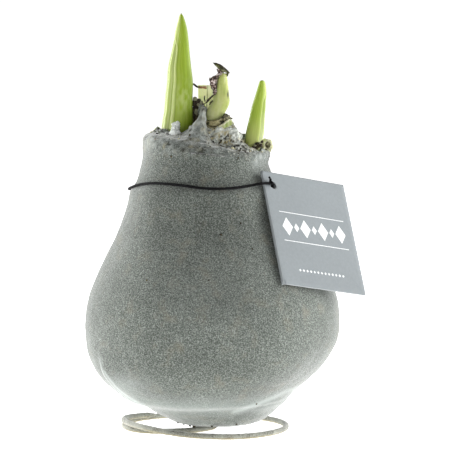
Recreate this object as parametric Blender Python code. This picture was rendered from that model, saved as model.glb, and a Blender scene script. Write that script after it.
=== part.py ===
"""A waxed amaryllis bulb: a bulb dipped in flocked grey wax, standing on a wound wire ring.

Two leaf shoots, a thick cut stub and a few dry scales come out of the torn mouth of the wax at the
neck. A folded card tag hangs on a thin elastic cord round the neck. The floor is at z = 0, x runs to
the right, y away from the viewer, and the origin is under the middle of the whole object.
"""

import math

import bmesh
import bpy
import numpy as np
from mathutils import Matrix, Vector

# Driving sizes in metres
BODY_WIDTH = 0.096
BODY_RADIUS = BODY_WIDTH / 2
WAX_THICKNESS = 0.0020
GAP = 0.0003
HOLE_SLACK = 0.0004
SLIVER = 0.000005
COLUMNS = 48

# Height, radius and sideways lean of the waxed body, from the middle of its base to just under the rim
BODY_OUTLINE = (
    (0.0020, 0.0000, 0.0016),
    (0.0021, 0.0080, 0.0016),
    (0.0031, 0.0155, 0.0015),
    (0.0056, 0.0205, 0.0010),
    (0.0096, 0.0266, -0.0006),
    (0.0120, 0.0312, -0.0024),
    (0.0145, 0.0336, -0.0032),
    (0.0188, 0.0384, -0.0032),
    (0.0235, 0.0426, -0.0024),
    (0.0288, 0.0456, -0.0012),
    (0.0345, 0.0474, -0.0003),
    (0.0412, BODY_RADIUS, 0.0000),
    (0.0500, 0.0470, 0.0003),
    (0.0592, 0.0434, 0.0002),
    (0.0665, 0.0394, -0.0003),
    (0.0735, 0.0354, -0.0009),
    (0.0805, 0.0321, -0.0015),
    (0.0866, 0.0301, -0.0018),
    (0.0909, 0.0289, -0.0020),
    (0.0937, 0.0268, -0.0023),
    (0.0975, 0.0251, -0.0026),
    (0.1025, 0.0238, -0.0027),
    (0.1068, 0.0243, -0.0026),
)
TOP_LEVEL = len(BODY_OUTLINE) - 1

# The crease above the root plate, which climbs to the right, and the fold at the lower left
FOOT_CREASE_LEVEL = 4.0
FOOT_CREASE_CLIMB = 1.2
FOOT_CREASE_DEPTH = 0.0006
FOLD_ANGLE = math.radians(-153)
FOLD_CREST = 0.0004
FOLD_DROP = 0.0007
FOLD_LEVELS = (3.4, 9.5)
LUMP_HEIGHT = 0.0005

# The neck, whose own axis stands a little left of the body's
NECK_X = BODY_OUTLINE[TOP_LEVEL][2]
NECK_START = 0.095
RIM_HEIGHT = 0.1090
RIM_TILT = 0.0034
RIM_DIP = 0.0012
RIM_DIP_ANGLE = math.radians(-48)
RIM_DIP_SPREAD = 0.42
RIM_ROUNDING_LEFT = 0.0030
RIM_ROUNDING_RIGHT = 0.0012

# Distance of the torn edge of the wax from the neck's axis, by angle in degrees
MOUTH = (
    (-170, 0.0176),
    (-152, 0.0136),
    (-135, 0.0082),
    (-113, 0.0050),
    (-98, 0.0047),
    (-84, 0.0064),
    (-70, 0.0130),
    (-56, 0.0198),
    (-35, 0.0212),
    (0, 0.0212),
    (18, 0.0205),
    (38, 0.0150),
    (62, 0.0092),
    (90, 0.0075),
    (118, 0.0086),
    (145, 0.0140),
    (165, 0.0174),
    (180, 0.0181),
)

# A tongue of wax runs up the left of the stub. The edge is also high behind the left shoot and the stub
TONGUE_ANGLE = math.radians(-99)
TONGUE_HEIGHT = 0.0130
TONGUE_SPREADS = (0.47, 0.22)
LAPS = (
    (math.radians(175), 0.0018, 0.40),
    (math.radians(42), 0.0064, 0.45),
)
CAP_POWER = 1.8
EDGE_RISE = 0.0004

# Cut scales of the bulb's neck inside the mouth
SCALE_SETBACK = 0.0029
SCALE_RISE = 0.0030
SCALE_RIDGE = 0.0004
MOUND = (0.0085, 0.0)
MOUND_HEIGHT = 0.0055
MOUND_RADIUS = 0.0075
COLLAR = (0.0034, -0.0010)
COLLAR_HEIGHT = 0.0052
COLLAR_RADIUS = 0.0076

# Sections of the growth, in the neck's frame: height, middle x, middle y, half width, half depth
LEFT_SHOOT = (
    (0.1010, -0.0102, -0.0015, 0.0044, 0.0032),
    (0.1070, -0.0108, -0.0015, 0.0053, 0.0038),
    (0.1135, -0.0110, -0.0015, 0.0062, 0.0043),
    (0.1165, -0.0108, -0.0015, 0.0061, 0.0043),
    (0.1210, -0.0105, -0.0015, 0.0056, 0.0041),
    (0.1256, -0.0103, -0.0015, 0.0054, 0.0039),
    (0.1316, -0.0099, -0.0015, 0.0051, 0.0036),
    (0.1377, -0.0100, -0.0015, 0.0045, 0.0032),
    (0.1422, -0.0097, -0.0015, 0.0037, 0.0027),
    (0.1467, -0.0094, -0.0015, 0.0030, 0.0022),
    (0.1513, -0.0092, -0.0015, 0.0022, 0.0017),
    (0.1547, -0.0092, -0.0015, 0.0014, 0.0011),
    (0.1574, -0.0095, -0.0015, 0.0, 0.0),
)
RIGHT_SHOOT = (
    (0.0975, 0.0148, -0.0030, 0.0022, 0.0018),
    (0.1010, 0.0159, -0.0030, 0.0025, 0.0020),
    (0.1045, 0.0170, -0.0030, 0.0029, 0.0023),
    (0.1080, 0.0178, -0.0030, 0.0032, 0.0026),
    (0.1120, 0.0185, -0.0030, 0.0036, 0.0028),
    (0.1150, 0.0189, -0.0030, 0.0034, 0.0027),
    (0.1180, 0.0193, -0.0030, 0.0031, 0.0025),
    (0.1226, 0.0200, -0.0030, 0.0027, 0.0022),
    (0.1271, 0.0207, -0.0030, 0.0020, 0.0017),
    (0.1301, 0.0210, -0.0030, 0.0014, 0.0011),
    (0.1323, 0.0211, -0.0030, 0.0, 0.0),
)
STUB = (
    (0.1080, 0.0030, -0.0010, 0.0022, 0.0020),
    (0.1130, 0.0030, -0.0010, 0.0028, 0.0025),
    (0.1165, 0.0031, -0.0010, 0.0031, 0.0028),
    (0.1192, 0.0034, -0.0010, 0.0035, 0.0030),
    (0.1215, 0.0043, -0.0010, 0.0036, 0.0030),
    (0.1240, 0.0055, -0.0010, 0.0034, 0.0028),
    (0.1270, 0.0059, -0.0010, 0.0028, 0.0025),
    (0.1300, 0.0060, -0.0010, 0.0023, 0.0021),
    (0.1326, 0.0061, -0.0010, 0.0019, 0.0016),
    (0.1348, 0.0067, -0.0010, 0.0010, 0.0009),
)

# The stub's dried left margin, and the dried cap that lies across its top on a short neck: points in
# the neck's frame, and the cap's share of its length, half width and half height
STUB_MARGIN = (
    (0.0052, -0.0016, 0.1344),
    (0.0028, -0.0018, 0.1330),
    (0.0022, -0.0022, 0.1308),
    (0.0028, -0.0024, 0.1282),
    (0.0036, -0.0024, 0.1262),
)
STUB_MARGIN_RADIUS = 0.0008
STUB_CAP_ENDS = ((0.0026, -0.0010, 0.1388), (0.0088, -0.0010, 0.1350))
STUB_CAP = (
    (0.0, 0.0004, 0.0003),
    (0.2, 0.0012, 0.0005),
    (0.55, 0.0017, 0.0006),
    (0.8, 0.0014, 0.0006),
    (1.0, 0.0005, 0.0004),
)
STUB_CAP_NECK = ((0.0062, -0.0010, 0.1335), (0.0060, -0.0010, 0.1352), (0.0058, -0.0010, 0.1369))
STUB_CAP_NECK_RADIUS = 0.0007

BACK_LEAF = (
    (0.1070, -0.0012, 0.0046, 0.0016, 0.0005),
    (0.1140, -0.0012, 0.0044, 0.0018, 0.0005),
    (0.1230, -0.0010, 0.0040, 0.0020, 0.0005),
    (0.1302, -0.0010, 0.0038, 0.0021, 0.0004),
)
DARK_SCALE = (
    (0.1070, -0.0026, 0.0014, 0.0012, 0.0004),
    (0.1150, -0.0029, 0.0014, 0.0013, 0.0004),
    (0.1200, -0.0031, 0.0014, 0.0012, 0.0004),
    (0.1240, -0.0030, 0.0014, 0.0009, 0.0004),
    (0.1252, -0.0029, 0.0014, 0.0004, 0.0003),
)

# Each leaf blade, and the part of the shoot's round that the outer leaf covers
BLADE_THICKNESS = 0.0007
LEFT_WRAP = (-131, 135)
RIGHT_WRAP = (-332, -62)
CLOSED_WRAP = (-176, 176)
RIGHT_CLOSED_WRAP = (-367, -15)
SEAM_CLOSES = 0.86
INNER_LEAF_ENDS = 0.79
INNER_LEAF_TAPER = 0.0070
INNER_LEAF_SLACK = 0.0005
SHOOT_SIDES = 18
LEAF_SIDES = 10
HOLE_TOP = 0.1235

# The green scale stub is part of a ring round the stub's foot
SCALE_STUB_RADIUS = 0.0066
SCALE_STUB_ARC = (-52, 62)
SCALE_STUB_HEIGHTS = (0.1085, 0.1170, 0.1196)
SCALE_STUB_THICKNESS = 0.0007

# The curled scale lies on the right of the rim
CURL_CENTRE = (0.0230, 0.0006, 0.1081)
CURL_RADIUS = 0.0019
CURL_THICKNESS = 0.0006
CURL_LENGTH = 0.0064
CURL_ARC = (-50, 215)

# The wire: a ring wound a little over one turn, whose end rides over its start at the left
WIRE_RADIUS = 0.0011
WIRE_SIDES = 10
WIRE_REST = WIRE_RADIUS * math.cos(math.pi / WIRE_SIDES)
RING_X = -0.0030
RING = (
    (131, 0.0298, 0.0013),
    (150, 0.0302, 0.0018),
    (180, 0.0307, 0.0027),
    (205, 0.0308, 0.0028),
    (225, 0.0308, 0.0024),
    (241, 0.0308, 0.0017),
    (257, 0.0308, 0.0010),
    (273, 0.0308, 0.0005),
    (290, 0.0308, 0.0001),
    (303, 0.0308, 0.0),
    (360, 0.0308, 0.0),
    (400, 0.0315, 0.0),
    (450, 0.0324, 0.0),
    (490, 0.0332, 0.0),
    (515, 0.0326, 0.0),
    (534, 0.0309, 0.0),
)
LEG = (
    (-0.0303, -0.0012),
    (-0.0286, -0.0060),
    (-0.0256, -0.0099),
    (-0.0218, -0.0124),
    (-0.0175, -0.0137),
    (-0.0130, -0.0140),
    (-0.0085, -0.0131),
    (-0.0042, -0.0108),
    (-0.0008, -0.0076),
    (0.0018, -0.0043),
)
SPIKE_X = 0.0046
SPIKE_BEND = 0.0035
SPIKE_TOP = 0.0260
WIRE_CLEARANCE = 0.00035

# The elastic cord: its course round the neck by angle in degrees and height, in the neck's frame
CORD_RADIUS = 0.00045
CORD_STEP = 0.0025
CORD_COURSE = (
    (-55, 0.0936),
    (-68, 0.0930),
    (-80, 0.0927),
    (-95, 0.0928),
    (-110, 0.0934),
    (-125, 0.0939),
    (-140, 0.0938),
    (-155, 0.0928),
    (-170, 0.0914),
    (-185, 0.0907),
    (-205, 0.0908),
    (-230, 0.0915),
    (-255, 0.0922),
    (-280, 0.0926),
    (-305, 0.0926),
    (-330, 0.0922),
    (-350, 0.0918),
    (-372, 0.0917),
    (-382, 0.0919),
    (-391, 0.0923),
)
CORD_SLACK = 0.00015
KNOT_RADIUS = 0.0010

# The hang tag: where its upper left corner is, from the body's axis, and the way its edges run
TAG_WIDTH = 0.0400
TAG_HEIGHT = 0.0461
TAG_CARD = 0.00045
TAG_OPENING = 0.0004
TAG_THICKNESS = 2 * TAG_CARD + TAG_OPENING
TAG_CORNER = Vector((0.0181, -0.0175, 0.0989))
TAG_ACROSS = Vector((0.786, 0.597, -0.162)).normalized()
TAG_BACK = TAG_ACROSS.cross(Vector((0.166, -0.456, -0.874))).normalized()
TAG_DOWN = TAG_BACK.cross(TAG_ACROSS)
TAG_HOLE_RADIUS = 0.0014
TAG_HOLE = (0.0044, 0.0054)

# The body's axis stands left of the middle, because the tag reaches out at the right
TAG_REACH = TAG_CORNER.x + TAG_WIDTH * TAG_ACROSS.x + TAG_HEIGHT * TAG_DOWN.x
AXIS_X = (BODY_RADIUS - TAG_REACH) / 2


def through(stations, at):
    """Values at the given parameters of a smooth curve through the stations, whose first column is it."""
    stations = np.asarray(stations, float)
    knots, values = stations[:, 0], stations[:, 1:]
    slopes = np.gradient(values, knots, axis=0)
    at = np.clip(np.asarray(at, float), knots[0], knots[-1])
    piece = np.clip(np.searchsorted(knots, at, side="right") - 1, 0, len(knots) - 2)
    span = knots[piece + 1] - knots[piece]
    share = ((at - knots[piece]) / span)[..., None]
    span = span[..., None]
    rest = 1 - share
    return (
        values[piece] * (1 + 2 * share) * rest**2
        + values[piece + 1] * (3 - 2 * share) * share**2
        + slopes[piece] * span * share * rest**2
        - slopes[piece + 1] * span * share**2 * rest
    )


def through_round(stations, degrees):
    """The same for a closed curve by angle in degrees."""
    stations = np.asarray(stations, float)
    before, after = stations[-3:].copy(), stations[:3].copy()
    before[:, 0] -= 360
    after[:, 0] += 360
    whole = np.vstack([before, stations, after])
    start = stations[0, 0]
    return through(whole, (np.asarray(degrees) - start) % 360 + start)


def turned(angle):
    """An angle brought between minus and plus half a turn."""
    return (angle + math.pi) % (2 * math.pi) - math.pi


def bell(offset, spread):
    return np.exp(-((offset / spread) ** 2))


def eased(share):
    share = np.clip(share, 0, 1)
    return share * share * (3 - 2 * share)


# The body and the wax

ANGLES = np.linspace(0, 2 * math.pi, COLUMNS, endpoint=False)


def rim_height(angle):
    """Height of the wax rim: higher at the left, and broken down at the front right."""
    dip = RIM_DIP * bell(turned(angle - RIM_DIP_ANGLE), RIM_DIP_SPREAD)
    return RIM_HEIGHT - RIM_TILT * np.cos(angle) - dip


def mouth_radius(angle):
    return through_round(MOUTH, np.degrees(angle))[..., 0]


def relief(level, angle):
    """How far the wax stands out: a crease round the foot, a fold at the lower left, and soft lumps."""
    crease = -FOOT_CREASE_DEPTH * bell(level - FOOT_CREASE_LEVEL, 0.35)
    past = turned(angle - FOLD_ANGLE)
    fold = np.where(past > 0, FOLD_CREST * np.exp(-past / 0.35), -FOLD_DROP * np.exp(past / 0.5))
    low, high = FOLD_LEVELS
    window = eased((level - low) / 0.8) * eased((high - level) / 1.5)
    belly = eased((level - 5) / 4) * eased((TOP_LEVEL - level) / 8)
    lumps = LUMP_HEIGHT * belly * (np.sin(4 * angle) + 0.6 * np.sin(7 * angle + 0.3 * level))
    return crease + fold * window + lumps


def wall(level, angle=ANGLES, depth=0.0):
    """One ring of the body, this deep under the wax's outer face, as points from the body's axis.

    The outline gives height, radius and lean at the level. Inside faces are offset along its normal.
    """
    climb = FOOT_CREASE_CLIMB * (0.5 + 0.5 * np.cos(angle)) ** 2
    there = level + climb * bell(level - FOOT_CREASE_LEVEL, 2.0)
    stations = np.column_stack([np.arange(TOP_LEVEL + 1), np.array(BODY_OUTLINE)])
    height, radius, lean = through(stations, there).T
    ahead = through(stations, there + 0.02).T
    behind = through(stations, there - 0.02).T
    rise, spread = ahead[0] - behind[0], ahead[1] - behind[1]
    steep = np.hypot(rise, spread)
    radius = radius - depth * rise / steep
    height = height + depth * spread / steep
    if depth <= 0:
        radius = radius + relief(level, angle)
    stretch = (rim_height(angle) - NECK_START) / (RIM_HEIGHT - NECK_START)
    height = np.where(height > NECK_START, NECK_START + (height - NECK_START) * stretch, height)
    return np.column_stack([lean + radius * np.cos(angle), radius * np.sin(angle), height])


def neck_ring(radius, height, angle=ANGLES):
    """A ring about the neck's axis."""
    return np.column_stack(
        [NECK_X + radius * np.cos(angle), radius * np.sin(angle), height + 0 * angle]
    )


def distance(radius, angle, spot):
    """Level distance of a point, in the neck's polar frame, from a spot in the same frame."""
    return np.hypot(radius * np.cos(angle) - spot[0], radius * np.sin(angle) - spot[1])


def covered_top(radius, angle):
    """Height of the bulb's cut neck where the wax covers it, with the collar round the stub's foot."""
    collar = COLLAR_HEIGHT * np.exp(-((distance(radius, angle, COLLAR) / COLLAR_RADIUS) ** 4))
    return rim_height(angle) - SCALE_SETBACK + collar


def scale_top(radius, angle):
    """Height of the bulb's cut neck, which rises in a mound inside the mouth."""
    inside = eased((mouth_radius(angle) - radius) / 0.0016)
    mound = MOUND_HEIGHT * bell(distance(radius, angle, MOUND), MOUND_RADIUS)
    return covered_top(radius, angle) + (SCALE_RISE + mound) * inside


def covered_radii():
    """The radii, from the mouth out to the neck's wall, of the rings that the wax and the bulb share."""
    wall_inside = wall(TOP_LEVEL - 0.3, depth=WAX_THICKNESS) - [NECK_X, 0, 0]
    outmost = np.hypot(*wall_inside[:, :2].T)
    mouth = mouth_radius(ANGLES)
    return [mouth + (outmost - mouth) * share for share in (0, 0.3, 0.65, 1)]


def mouth_height(angle):
    """Height of the torn edge: near the rim, with the tongue at the stub and the higher laps."""
    past = turned(angle - TONGUE_ANGLE)
    tongue = np.where(past < 0, bell(past, TONGUE_SPREADS[0]), bell(past, TONGUE_SPREADS[1]))
    laps = sum(height * bell(turned(angle - place), spread) for place, height, spread in LAPS)
    return rim_height(angle) + EDGE_RISE + TONGUE_HEIGHT * tongue + laps


def wax_rings():
    """Rings of the wax coat: up the outside, over the rim, down the mouth's edge and down the inside."""
    outer = [wall(level) for level in (1, 2, 3, 3.5, 4, 4.5, 5, 5.6, 6.3, *range(7, TOP_LEVEL))]
    rightness = 0.5 + 0.5 * np.cos(ANGLES)
    rounding = RIM_ROUNDING_LEFT + (RIM_ROUNDING_RIGHT - RIM_ROUNDING_LEFT) * rightness
    shoulder = wall(TOP_LEVEL - 0.6 + 0.5 * rightness) - [NECK_X, 0, 0]
    crest = np.hypot(*shoulder[:, :2].T) - rounding
    rim, mouth, edge = rim_height(ANGLES), mouth_radius(ANGLES), mouth_height(ANGLES)
    top = []
    for turn in np.radians((15, 40, 65, 90)):
        top.append(neck_ring(crest + rounding * math.cos(turn), rim - rounding * (1 - math.sin(turn))))
    for share in (0.3, 0.6, 0.82):
        radius = crest + (mouth + 0.0004 - crest) * share
        top.append(neck_ring(radius, rim + (edge - rim) * share**CAP_POWER))
    top.append(neck_ring(mouth + 0.0003, edge))
    top.append(neck_ring(mouth, edge - 0.0005))
    underside = [
        neck_ring(radius, covered_top(radius, ANGLES) + 2 * GAP) for radius in covered_radii()
    ]
    levels = (TOP_LEVEL - 1.1, TOP_LEVEL - 2, 19, 17.5, 16, 14, 12, 11, 10, 9, 7.5, 6, 5, 4, 3, 2, 1)
    inner = [wall(level, depth=WAX_THICKNESS) for level in levels]
    return outer + top + underside + inner


def bulb_rings():
    """Rings of the bulb: up its side just inside the wax, then in over the ridged cut scales."""
    deep = WAX_THICKNESS + GAP
    levels = (1, 2, 3, 4, 5, 6, 7.5, 9, 10, 11, 12, 14, 16, 17.5, 19, TOP_LEVEL - 2, TOP_LEVEL - 1.1)
    side = [wall(level, depth=deep) for level in levels]
    edge = np.hypot(*(wall(TOP_LEVEL - 0.3, depth=deep) - [NECK_X, 0, 0])[:, :2].T)
    mouth, *covered, _ = covered_radii()
    top = [
        neck_ring(edge, covered_top(edge, ANGLES) - 0.0006),
        neck_ring(edge - 0.0003, covered_top(edge, ANGLES)),
    ]
    for radius in (*reversed(covered), mouth):
        top.append(neck_ring(radius, covered_top(radius, ANGLES)))
    ridge = SCALE_RIDGE
    for share in (0.87, 0.75, 0.63, 0.5, 0.37, 0.24, 0.12):
        radius = share * mouth
        top.append(neck_ring(radius, scale_top(radius, ANGLES) + ridge))
        ridge = -ridge
    return side + top


# Meshes

def solid(name, points, faces):
    """An object with this closed mesh, its doubles merged and its faces turned outwards."""
    shape = bmesh.new()
    corners = [shape.verts.new(point) for point in points]
    for face in faces:
        around = list(dict.fromkeys(face))
        if len(around) > 2:
            shape.faces.new([corners[i] for i in around])
    bmesh.ops.remove_doubles(shape, verts=shape.verts[:], dist=1e-6)
    bmesh.ops.dissolve_degenerate(shape, edges=shape.edges[:], dist=1e-7)
    bmesh.ops.recalc_face_normals(shape, faces=shape.faces[:])
    mesh = bpy.data.meshes.new(name)
    shape.to_mesh(mesh)
    shape.free()
    mesh.shade_smooth()
    mesh.set_sharp_from_angle(angle=math.radians(50))
    made = bpy.data.objects.new(name, mesh)
    made.location.x = AXIS_X
    bpy.context.scene.collection.objects.link(made)
    return made


def lofted(name, rings, start=None, end=None):
    """A skin over closed rings with equal counts, capped by fans to a middle point at each end."""
    rings = np.asarray(rings)
    rows, columns = rings.shape[:2]
    start = rings[0].mean(axis=0) if start is None else start
    end = rings[-1].mean(axis=0) if end is None else end
    points = np.vstack([rings.reshape(-1, 3), start, end])
    first, last = rows * columns, rows * columns + 1
    faces = []
    for column in range(columns):
        beside = (column + 1) % columns
        faces.append((first, beside, column))
        for row in range(rows - 1):
            low, high = row * columns, (row + 1) * columns
            faces.append((low + column, low + beside, high + beside, high + column))
        top = (rows - 1) * columns
        faces.append((last, top + column, top + beside))
    return solid(name, points, faces)


def ovals(sections, sides, margin=0.0):
    """Level oval rings in the neck's frame, grown all round by the margin."""
    around = np.linspace(0, 2 * math.pi, sides, endpoint=False)
    rings = []
    for height, x, y, half_width, half_depth in sections:
        ring = np.column_stack(
            [
                NECK_X + x + (half_width + margin) * np.cos(around),
                y + (half_depth + margin) * np.sin(around),
                np.full(sides, height),
            ]
        )
        rings.append(ring)
    return np.array(rings)


def folded_blade(name, outer, inner):
    """A blade between two grids of points, one row to a height, closed along all four edges."""
    rows, columns = outer.shape[:2]
    points = np.vstack([outer.reshape(-1, 3), inner.reshape(-1, 3)])
    size = rows * columns
    faces = []
    for row in range(rows - 1):
        for column in range(columns - 1):
            a, b = row * columns + column, row * columns + column + 1
            c, d = b + columns, a + columns
            faces.append((a, b, c, d))
            faces.append((size + d, size + c, size + b, size + a))
        left, right = row * columns, row * columns + columns - 1
        faces.append((left, left + columns, size + left + columns, size + left))
        faces.append((right + columns, right, size + right, size + right + columns))
    for column in range(columns - 1):
        low, high = column, (rows - 1) * columns + column
        faces.append((low + 1, low, size + low, size + low + 1))
        faces.append((high, high + 1, size + high + 1, size + high))
    return solid(name, points, faces)


def wrap(sections, span, closed_span, thickness):
    """Grids of the outside and the inside of a leaf that folds round a shoot.

    The leaf covers the span of degrees at the foot and closes to the other span towards the tip.
    """
    sections = np.array(sections)
    heights = sections[:, 0]
    share = (heights - heights[0]) / (heights[-1] - heights[0])
    closing = eased((share - SEAM_CLOSES + 0.15) / 0.15)
    grids = []
    for inset in (0.0, thickness):
        rows = []
        for section, closed in zip(sections, closing):
            ends = [math.radians(a + (b - a) * closed) for a, b in zip(span, closed_span)]
            around = np.linspace(*ends, SHOOT_SIDES + 1)
            half_width, half_depth = (max(side - inset, 0.35 * side) for side in section[3:])
            rows.append(
                np.column_stack(
                    [
                        NECK_X + section[1] + half_width * np.cos(around),
                        section[2] + half_depth * np.sin(around),
                        np.full(SHOOT_SIDES + 1, section[0]),
                    ]
                )
            )
        grids.append(np.array(rows))
    return grids


def cutter(made):
    made.hide_render = True
    made.display_type = "WIRE"
    return made


def combine(target, operation, other):
    step = target.modifiers.new(f"{operation.lower()} {other.name}", "BOOLEAN")
    step.operation = operation
    step.solver = "EXACT"
    step.object = cutter(other)


def settle(made):
    """Applies the object's cuts and joins, and merges the slivers that they leave along their edges."""
    shape = bmesh.new()
    shape.from_object(made, bpy.context.evaluated_depsgraph_get())
    for _ in range(3):
        bmesh.ops.triangulate(shape, faces=shape.faces[:])
        bmesh.ops.dissolve_degenerate(shape, edges=shape.edges[:], dist=SLIVER)
        bmesh.ops.remove_doubles(shape, verts=shape.verts[:], dist=SLIVER)
    bmesh.ops.triangulate(shape, faces=shape.faces[:])
    cutters = [step.object for step in made.modifiers]
    made.modifiers.clear()
    shape.to_mesh(made.data)
    shape.free()
    for used in cutters:
        bpy.data.objects.remove(used)


# The growth at the neck

def buried(sections):
    """The sections of a growth up to a little above the scales, with its foot set deeper by the gap."""
    foot = (sections[0][0] - GAP, *sections[0][1:])
    raised = [section for section in sections if section[0] < HOLE_TOP]
    return [foot, *raised[1:]]


def make_growth(bulb):
    """The shoots, the stub and the cut leaves, each in a plain hole in the bulb's neck."""
    for name, sections in (
        ("left_shoot", LEFT_SHOOT),
        ("right_shoot", RIGHT_SHOOT),
        ("middle_stub", STUB),
        ("back_leaf_stub", BACK_LEAF),
        ("dark_scale", DARK_SCALE),
    ):
        sides = LEAF_SIDES if sections in (BACK_LEAF, DARK_SCALE) else SHOOT_SIDES
        hole = lofted(f"{name}_hole", ovals(buried(sections), sides, HOLE_SLACK))
        combine(bulb, "DIFFERENCE", hole)

    spans = {
        "left_shoot": (LEFT_SHOOT, LEFT_WRAP, CLOSED_WRAP),
        "right_shoot": (RIGHT_SHOOT, RIGHT_WRAP, RIGHT_CLOSED_WRAP),
    }
    for name, (sections, span, closed_span) in spans.items():
        outer, inner = wrap(sections, span, closed_span, BLADE_THICKNESS)
        finish(folded_blade(f"{name}_outer_leaf", outer, inner), "leaf green")
        make_inner_leaf(name, sections)
    make_stub()
    finish(lofted("back_leaf_stub", ovals(BACK_LEAF, LEAF_SIDES)), "pale leaf")
    finish(lofted("dark_scale", ovals(DARK_SCALE, LEAF_SIDES)), "dry scale")
    finish(make_scale_stub(bulb), "pale leaf")
    finish(make_curled_scale(), "dry scale")


def make_inner_leaf(name, sections):
    """The inner leaf fills the outer one, less the gap, and ends in a point below its tip."""
    sections = np.array(sections)
    foot, tip = sections[0, 0], sections[-1, 0]
    top = foot + INNER_LEAF_ENDS * (tip - foot)
    taper = top - INNER_LEAF_TAPER * np.array([0.57, 0.26, 0])
    heights = np.append(np.linspace(foot, top - INNER_LEAF_TAPER, 8), taper)
    middles = through(sections, heights)
    narrowing = np.sqrt(np.clip((top - heights) / INNER_LEAF_TAPER, 0, 1))
    inset = BLADE_THICKNESS + INNER_LEAF_SLACK
    slim = np.maximum(middles[:, 2:] - inset, 0) * narrowing[:, None]
    rings = ovals(np.column_stack([heights, middles[:, :2], slim]), SHOOT_SIDES)
    finish(lofted(f"{name}_inner_leaf", rings), "pale leaf")


def make_stub():
    """The thick stub with its dried left margin and the dried cap that lies across its top."""
    stub = lofted("middle_stub", ovals(STUB, SHOOT_SIDES))
    margin = tube("stub_margin", STUB_MARGIN + np.array([NECK_X, 0, 0]), STUB_MARGIN_RADIUS, 6)
    combine(stub, "UNION", margin)
    low, high = STUB_CAP_ENDS + np.array([NECK_X, 0, 0])
    along = (high - low) / np.linalg.norm(high - low)
    up = np.array([-along[2], 0, along[0]])
    around = np.linspace(0, 2 * math.pi, 8, endpoint=False)[:, None]
    rings = []
    for share, half_width, half_height in STUB_CAP:
        aside = half_width * np.cos(around) * [0, 1, 0] + half_height * np.sin(around) * up
        rings.append(low + (high - low) * share + aside)
    combine(stub, "UNION", lofted("stub_cap", rings))
    neck = tube("stub_cap_neck", STUB_CAP_NECK + np.array([NECK_X, 0, 0]), STUB_CAP_NECK_RADIUS, 8)
    combine(stub, "UNION", neck)
    settle(stub)
    finish(stub, "pale leaf")


def ring_blade(name, middle, radius, thickness, arc, bottoms, tops, sides):
    """An upright blade bent round a vertical axis."""
    around = np.radians(np.linspace(*arc, sides + 1))
    share = np.linspace(0, 1, sides + 1)
    bottom = np.interp(share, (0, 1), bottoms)
    top = np.interp(share, (0, 0.5, 1), tops)
    grids = []
    for distance in (radius + thickness, radius):
        x = NECK_X + middle[0] + distance * np.cos(around)
        y = middle[1] + distance * np.sin(around)
        rows = [np.column_stack([x, y, bottom + (top - bottom) * s]) for s in (0, 0.35, 0.7, 1)]
        grids.append(np.array(rows))
    return folded_blade(name, *grids)


def make_scale_stub(bulb):
    """The short green scale at the right of the stub, in a slot of its own."""
    low, middle, high = SCALE_STUB_HEIGHTS
    slack = HOLE_SLACK
    spare = math.degrees(slack / SCALE_STUB_RADIUS)
    start, end = SCALE_STUB_ARC
    slot = ring_blade(
        "green_scale_slot",
        COLLAR,
        SCALE_STUB_RADIUS - slack,
        SCALE_STUB_THICKNESS + 2 * slack,
        (start - spare, end + spare),
        (low - slack, low - slack),
        (high, high, high),
        8,
    )
    combine(bulb, "DIFFERENCE", slot)
    return ring_blade(
        "green_scale_stub",
        COLLAR,
        SCALE_STUB_RADIUS,
        SCALE_STUB_THICKNESS,
        SCALE_STUB_ARC,
        (low, low),
        (middle - 0.0020, high, middle),
        8,
    )


def make_curled_scale():
    """A dry scale curled nearly to a tube, lying from front to back on the rim."""
    around = np.radians(np.linspace(*CURL_ARC, 13))
    x, y, z = CURL_CENTRE
    grids = []
    for radius in (CURL_RADIUS, CURL_RADIUS - CURL_THICKNESS):
        rows = []
        for share in (0, 0.3, 0.7, 1):
            size = radius * (0.8 + 0.2 * math.sin(math.pi * share))
            rows.append(
                np.column_stack(
                    [
                        NECK_X + x + size * np.cos(around),
                        np.full(13, y + CURL_LENGTH * (share - 0.5)),
                        z + size * np.sin(around),
                    ]
                )
            )
        grids.append(np.array(rows))
    return folded_blade("curled_scale", *grids)


# The wire stand

def tube(name, way, radius, sides):
    """A round bar along a way. Its sections keep one flat side level where the way is level."""
    way = np.array([tuple(point) for point in way])
    ahead = np.gradient(way, axis=0)
    ahead /= np.linalg.norm(ahead, axis=1)[:, None]
    heading = ahead[:, :2].copy()
    for i in range(1, len(heading)):
        if np.linalg.norm(heading[i]) < 0.05:
            heading[i] = heading[i - 1]
    heading /= np.linalg.norm(heading, axis=1)[:, None]
    aside = np.column_stack([heading[:, 1], -heading[:, 0], np.zeros(len(way))])
    above = np.cross(aside, ahead)
    around = math.pi * (2 * np.arange(sides) + 1) / sides - math.pi / 2
    rings = (
        way[:, None]
        + radius * np.cos(around)[None, :, None] * aside[:, None]
        + radius * np.sin(around)[None, :, None] * above[:, None]
    )
    return lofted(name, rings)


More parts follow.
